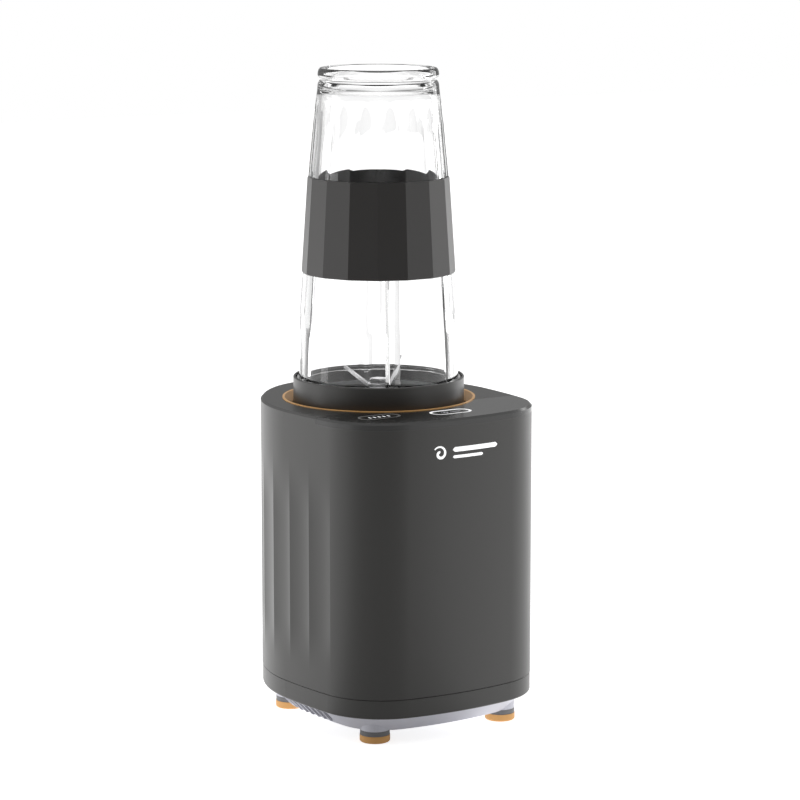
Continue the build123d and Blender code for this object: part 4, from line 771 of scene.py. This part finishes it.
# %% Inner bosses
BOSS = (5.0, 1.6)              # outer radius and bore
BOSS_FROM = 2.1                # above the housing's lower seam
BOSS_TO = 32.6
BOSS_RIB = 2.0                 # thickness of the rib
RIB_INTO_BOSS = 0.5
feet_low, feet_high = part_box("rubber_feet")
FOOT_RADIUS = 8.4
boss_spots = [(x, y) for x in (feet_low.x / MM + FOOT_RADIUS, feet_high.x / MM - FOOT_RADIUS)
              for y in (feet_low.y / MM + FOOT_RADIUS, feet_high.y / MM - FOOT_RADIUS)]
BOSS_SIDES = 32
NEAR_RIB = 4.0                 # the wall within this of a rib decides how far the rib reaches
for x, y in boss_spots:
    circles = []
    for radius, z in ((BOSS[0], BOSS_FROM), (BOSS[0], BOSS_TO), (BOSS[1], BOSS_TO), (BOSS[1], BOSS_FROM)):
        circles.append([shell_mesh.verts.new(((x + radius * math.cos(math.tau * i / BOSS_SIDES)) * MM,
                                              (y + radius * math.sin(math.tau * i / BOSS_SIDES)) * MM,
                                              (shell_from + z) * MM)) for i in range(BOSS_SIDES)])
    for a, b in zip(circles, circles[1:] + circles[:1]):
        for i in range(BOSS_SIDES):
            j = (i + 1) % BOSS_SIDES
            shell_mesh.faces.new((a[i], a[j], b[j], b[i]))
    side = math.copysign(1, x)
    wall_x = min(p.x for p, out, dent, ridge in half if abs(p.y + axis.y / MM - y) < NEAR_RIB) - WALL / 2
    near, far = x + side * (BOSS[0] - RIB_INTO_BOSS), side * wall_x
    block = bmesh.ops.create_cube(shell_mesh, size=1.0)["verts"]
    for vert in block:
        vert.co = Vector(((near + far) / 2 + vert.co.x * abs(far - near), y + vert.co.y * BOSS_RIB,
                          shell_from + BOSS_FROM + (vert.co.z + 0.5) * (BOSS_TO - BOSS_FROM))) * MM

piece("housing_shell", shell_mesh, "base", "charcoal_plastic", ["body_shell"], crease=30)

# %% [markdown]
# The stem above each rubber pad wears a thin dark grey ring. It is painted shade: it stands in for the
# shadow that falls on the stems under the tray.

# %% Foot rings of painted shade
RING_RADIUS = 8.2
RING_BORE = 8.12
PAD_TOP = 4.02
RING_TOP = 6.75
RING_STEPS = 64
foot_stem_shade = bmesh.new()
for x, y in boss_spots:
    section = [(RING_BORE, PAD_TOP), (RING_RADIUS, PAD_TOP), (RING_RADIUS, RING_TOP), (RING_BORE, RING_TOP)]
    turned = [foot_stem_shade.verts.new(((x + r) * MM, y * MM, z * MM)) for r, z in section]
    edges = [foot_stem_shade.edges.new((a, b)) for a, b in zip(turned, turned[1:] + turned[:1])]
    bmesh.ops.spin(foot_stem_shade, geom=turned + edges, cent=(x * MM, y * MM, 0), axis=(0, 0, 1), angle=math.tau,
                   steps=RING_STEPS, use_merge=True)
# painted shade: a dark grey that stands in for the shadow on the foot stems under the tray
stem_shade_grey = moulded("stem_shade_grey", (0.16, 0.16, 0.165), 0.5)
stem_shade_piece = piece("foot_stem_shade", foot_stem_shade, "base", "light_grey_plastic", crease=30)
stem_shade_piece.data.materials[0] = stem_shade_grey

# %% [markdown]
# ## Printed marks
# The keys carry small printed signs, and the front a plain white one: a whirl beside two bars. Ink is a
# film of a few hundredths of a millimetre, so each stroke is a thin strip laid on the surface below it.

# %% Stroke helpers
BLUNT_END = 0.985              # keeps a bar's last row a little wide, so that its end is not a point


def stroke(mesh_work, points, widths, place, lift=0.05):
    """A printed line along (u, v) points, laid on a surface by place(u, v, height)."""
    rows = []
    for i, ((u, v), width) in enumerate(zip(points, widths)):
        before, after = points[max(i - 1, 0)], points[min(i + 1, len(points) - 1)]
        run = Vector((after[0] - before[0], after[1] - before[1])).normalized() * width / 2
        rows.append([mesh_work.verts.new(place(u - side * run.y, v + side * run.x, height))
                     for side, height in ((1, -lift), (-1, -lift), (-1, lift), (1, lift))])
    for a, b in zip(rows, rows[1:]):
        for k in range(4):
            mesh_work.faces.new((a[k], a[(k + 1) % 4], b[(k + 1) % 4], b[k]))
    mesh_work.faces.new(rows[0])
    mesh_work.faces.new(rows[-1])


def bar(middle, length, width, upright=False):
    """Points and widths of a bar with round ends."""
    radius = width / 2
    points, widths = [], []
    for along in steps(-length / 2, length / 2, 24):
        end = max(abs(along) - (length / 2 - radius), 0) * BLUNT_END
        points.append((middle[0], middle[1] + along) if upright else (middle[0] + along, middle[1]))
        widths.append(2 * math.sqrt(radius**2 - end**2))
    return points, widths


def whirl(middle, radius, width, turns=1.4):
    """Points and widths of a spiral that thins towards its middle."""
    points, widths = [], []
    for share_out in steps(0.18, 1.0, 60):
        turn = share_out * turns * math.tau
        points.append((middle[0] + radius * share_out * math.cos(turn),
                       middle[1] + radius * share_out * math.sin(turn)))
        widths.append(width * (0.45 + 0.55 * math.sin(math.pi * share_out)))
    return points, widths


# %% Front sign
SIGN_AT = (1.0, 161.0)


def on_front(u, v, height):
    """A place on the bowed front."""
    x = SIGN_AT[0] + u
    y = front_centre.y - math.sqrt((FRONT_BOW + height) ** 2 - x * x)
    return Vector((axis.x + x * MM, axis.y + y * MM, (SIGN_AT[1] + v) * MM))


front_sign = bmesh.new()
stroke(front_sign, *whirl((-16.5, 0.0), 4.2, 1.5), on_front)
stroke(front_sign, *bar((6.5, 1.6), 30.0, 2.6), on_front)
stroke(front_sign, *bar((1.5, -2.4), 20.0, 1.6), on_front)
# painted light: the white print takes the glowing white_lens finish, so the ink glows faintly though it is
# no lamp
piece("front_sign", front_sign, "base", "white_lens")


# %% Key signs
def on_key(key):
    """A place function for the top of a key."""
    key_low, key_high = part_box(key)
    middle = (key_low + key_high) / 2
    return lambda u, v, height: Vector((middle.x + u * MM, middle.y + v * MM, key_high.z + height * MM))


blend_sign = bmesh.new()
stroke(blend_sign, *whirl((-3.6, 0.0), 2.2, 0.7), on_key("blend_key"))
stroke(blend_sign, *bar((3.0, 0.0), 7.0, 0.8), on_key("blend_key"))
piece("blend_sign", blend_sign, "blend_button", "light_grey_plastic")
pulse_sign = bmesh.new()
for u in (-6.0, -3.0, 0.0, 3.0, 6.0):
    stroke(pulse_sign, *bar((u, 0.0), 3.0, 0.9, upright=True), on_key("pulse_key"))
# painted light: these white marks take the glowing white_lens finish, so the ink glows faintly though it is
# no lamp
piece("pulse_sign", pulse_sign, "pulse_button", "white_lens")
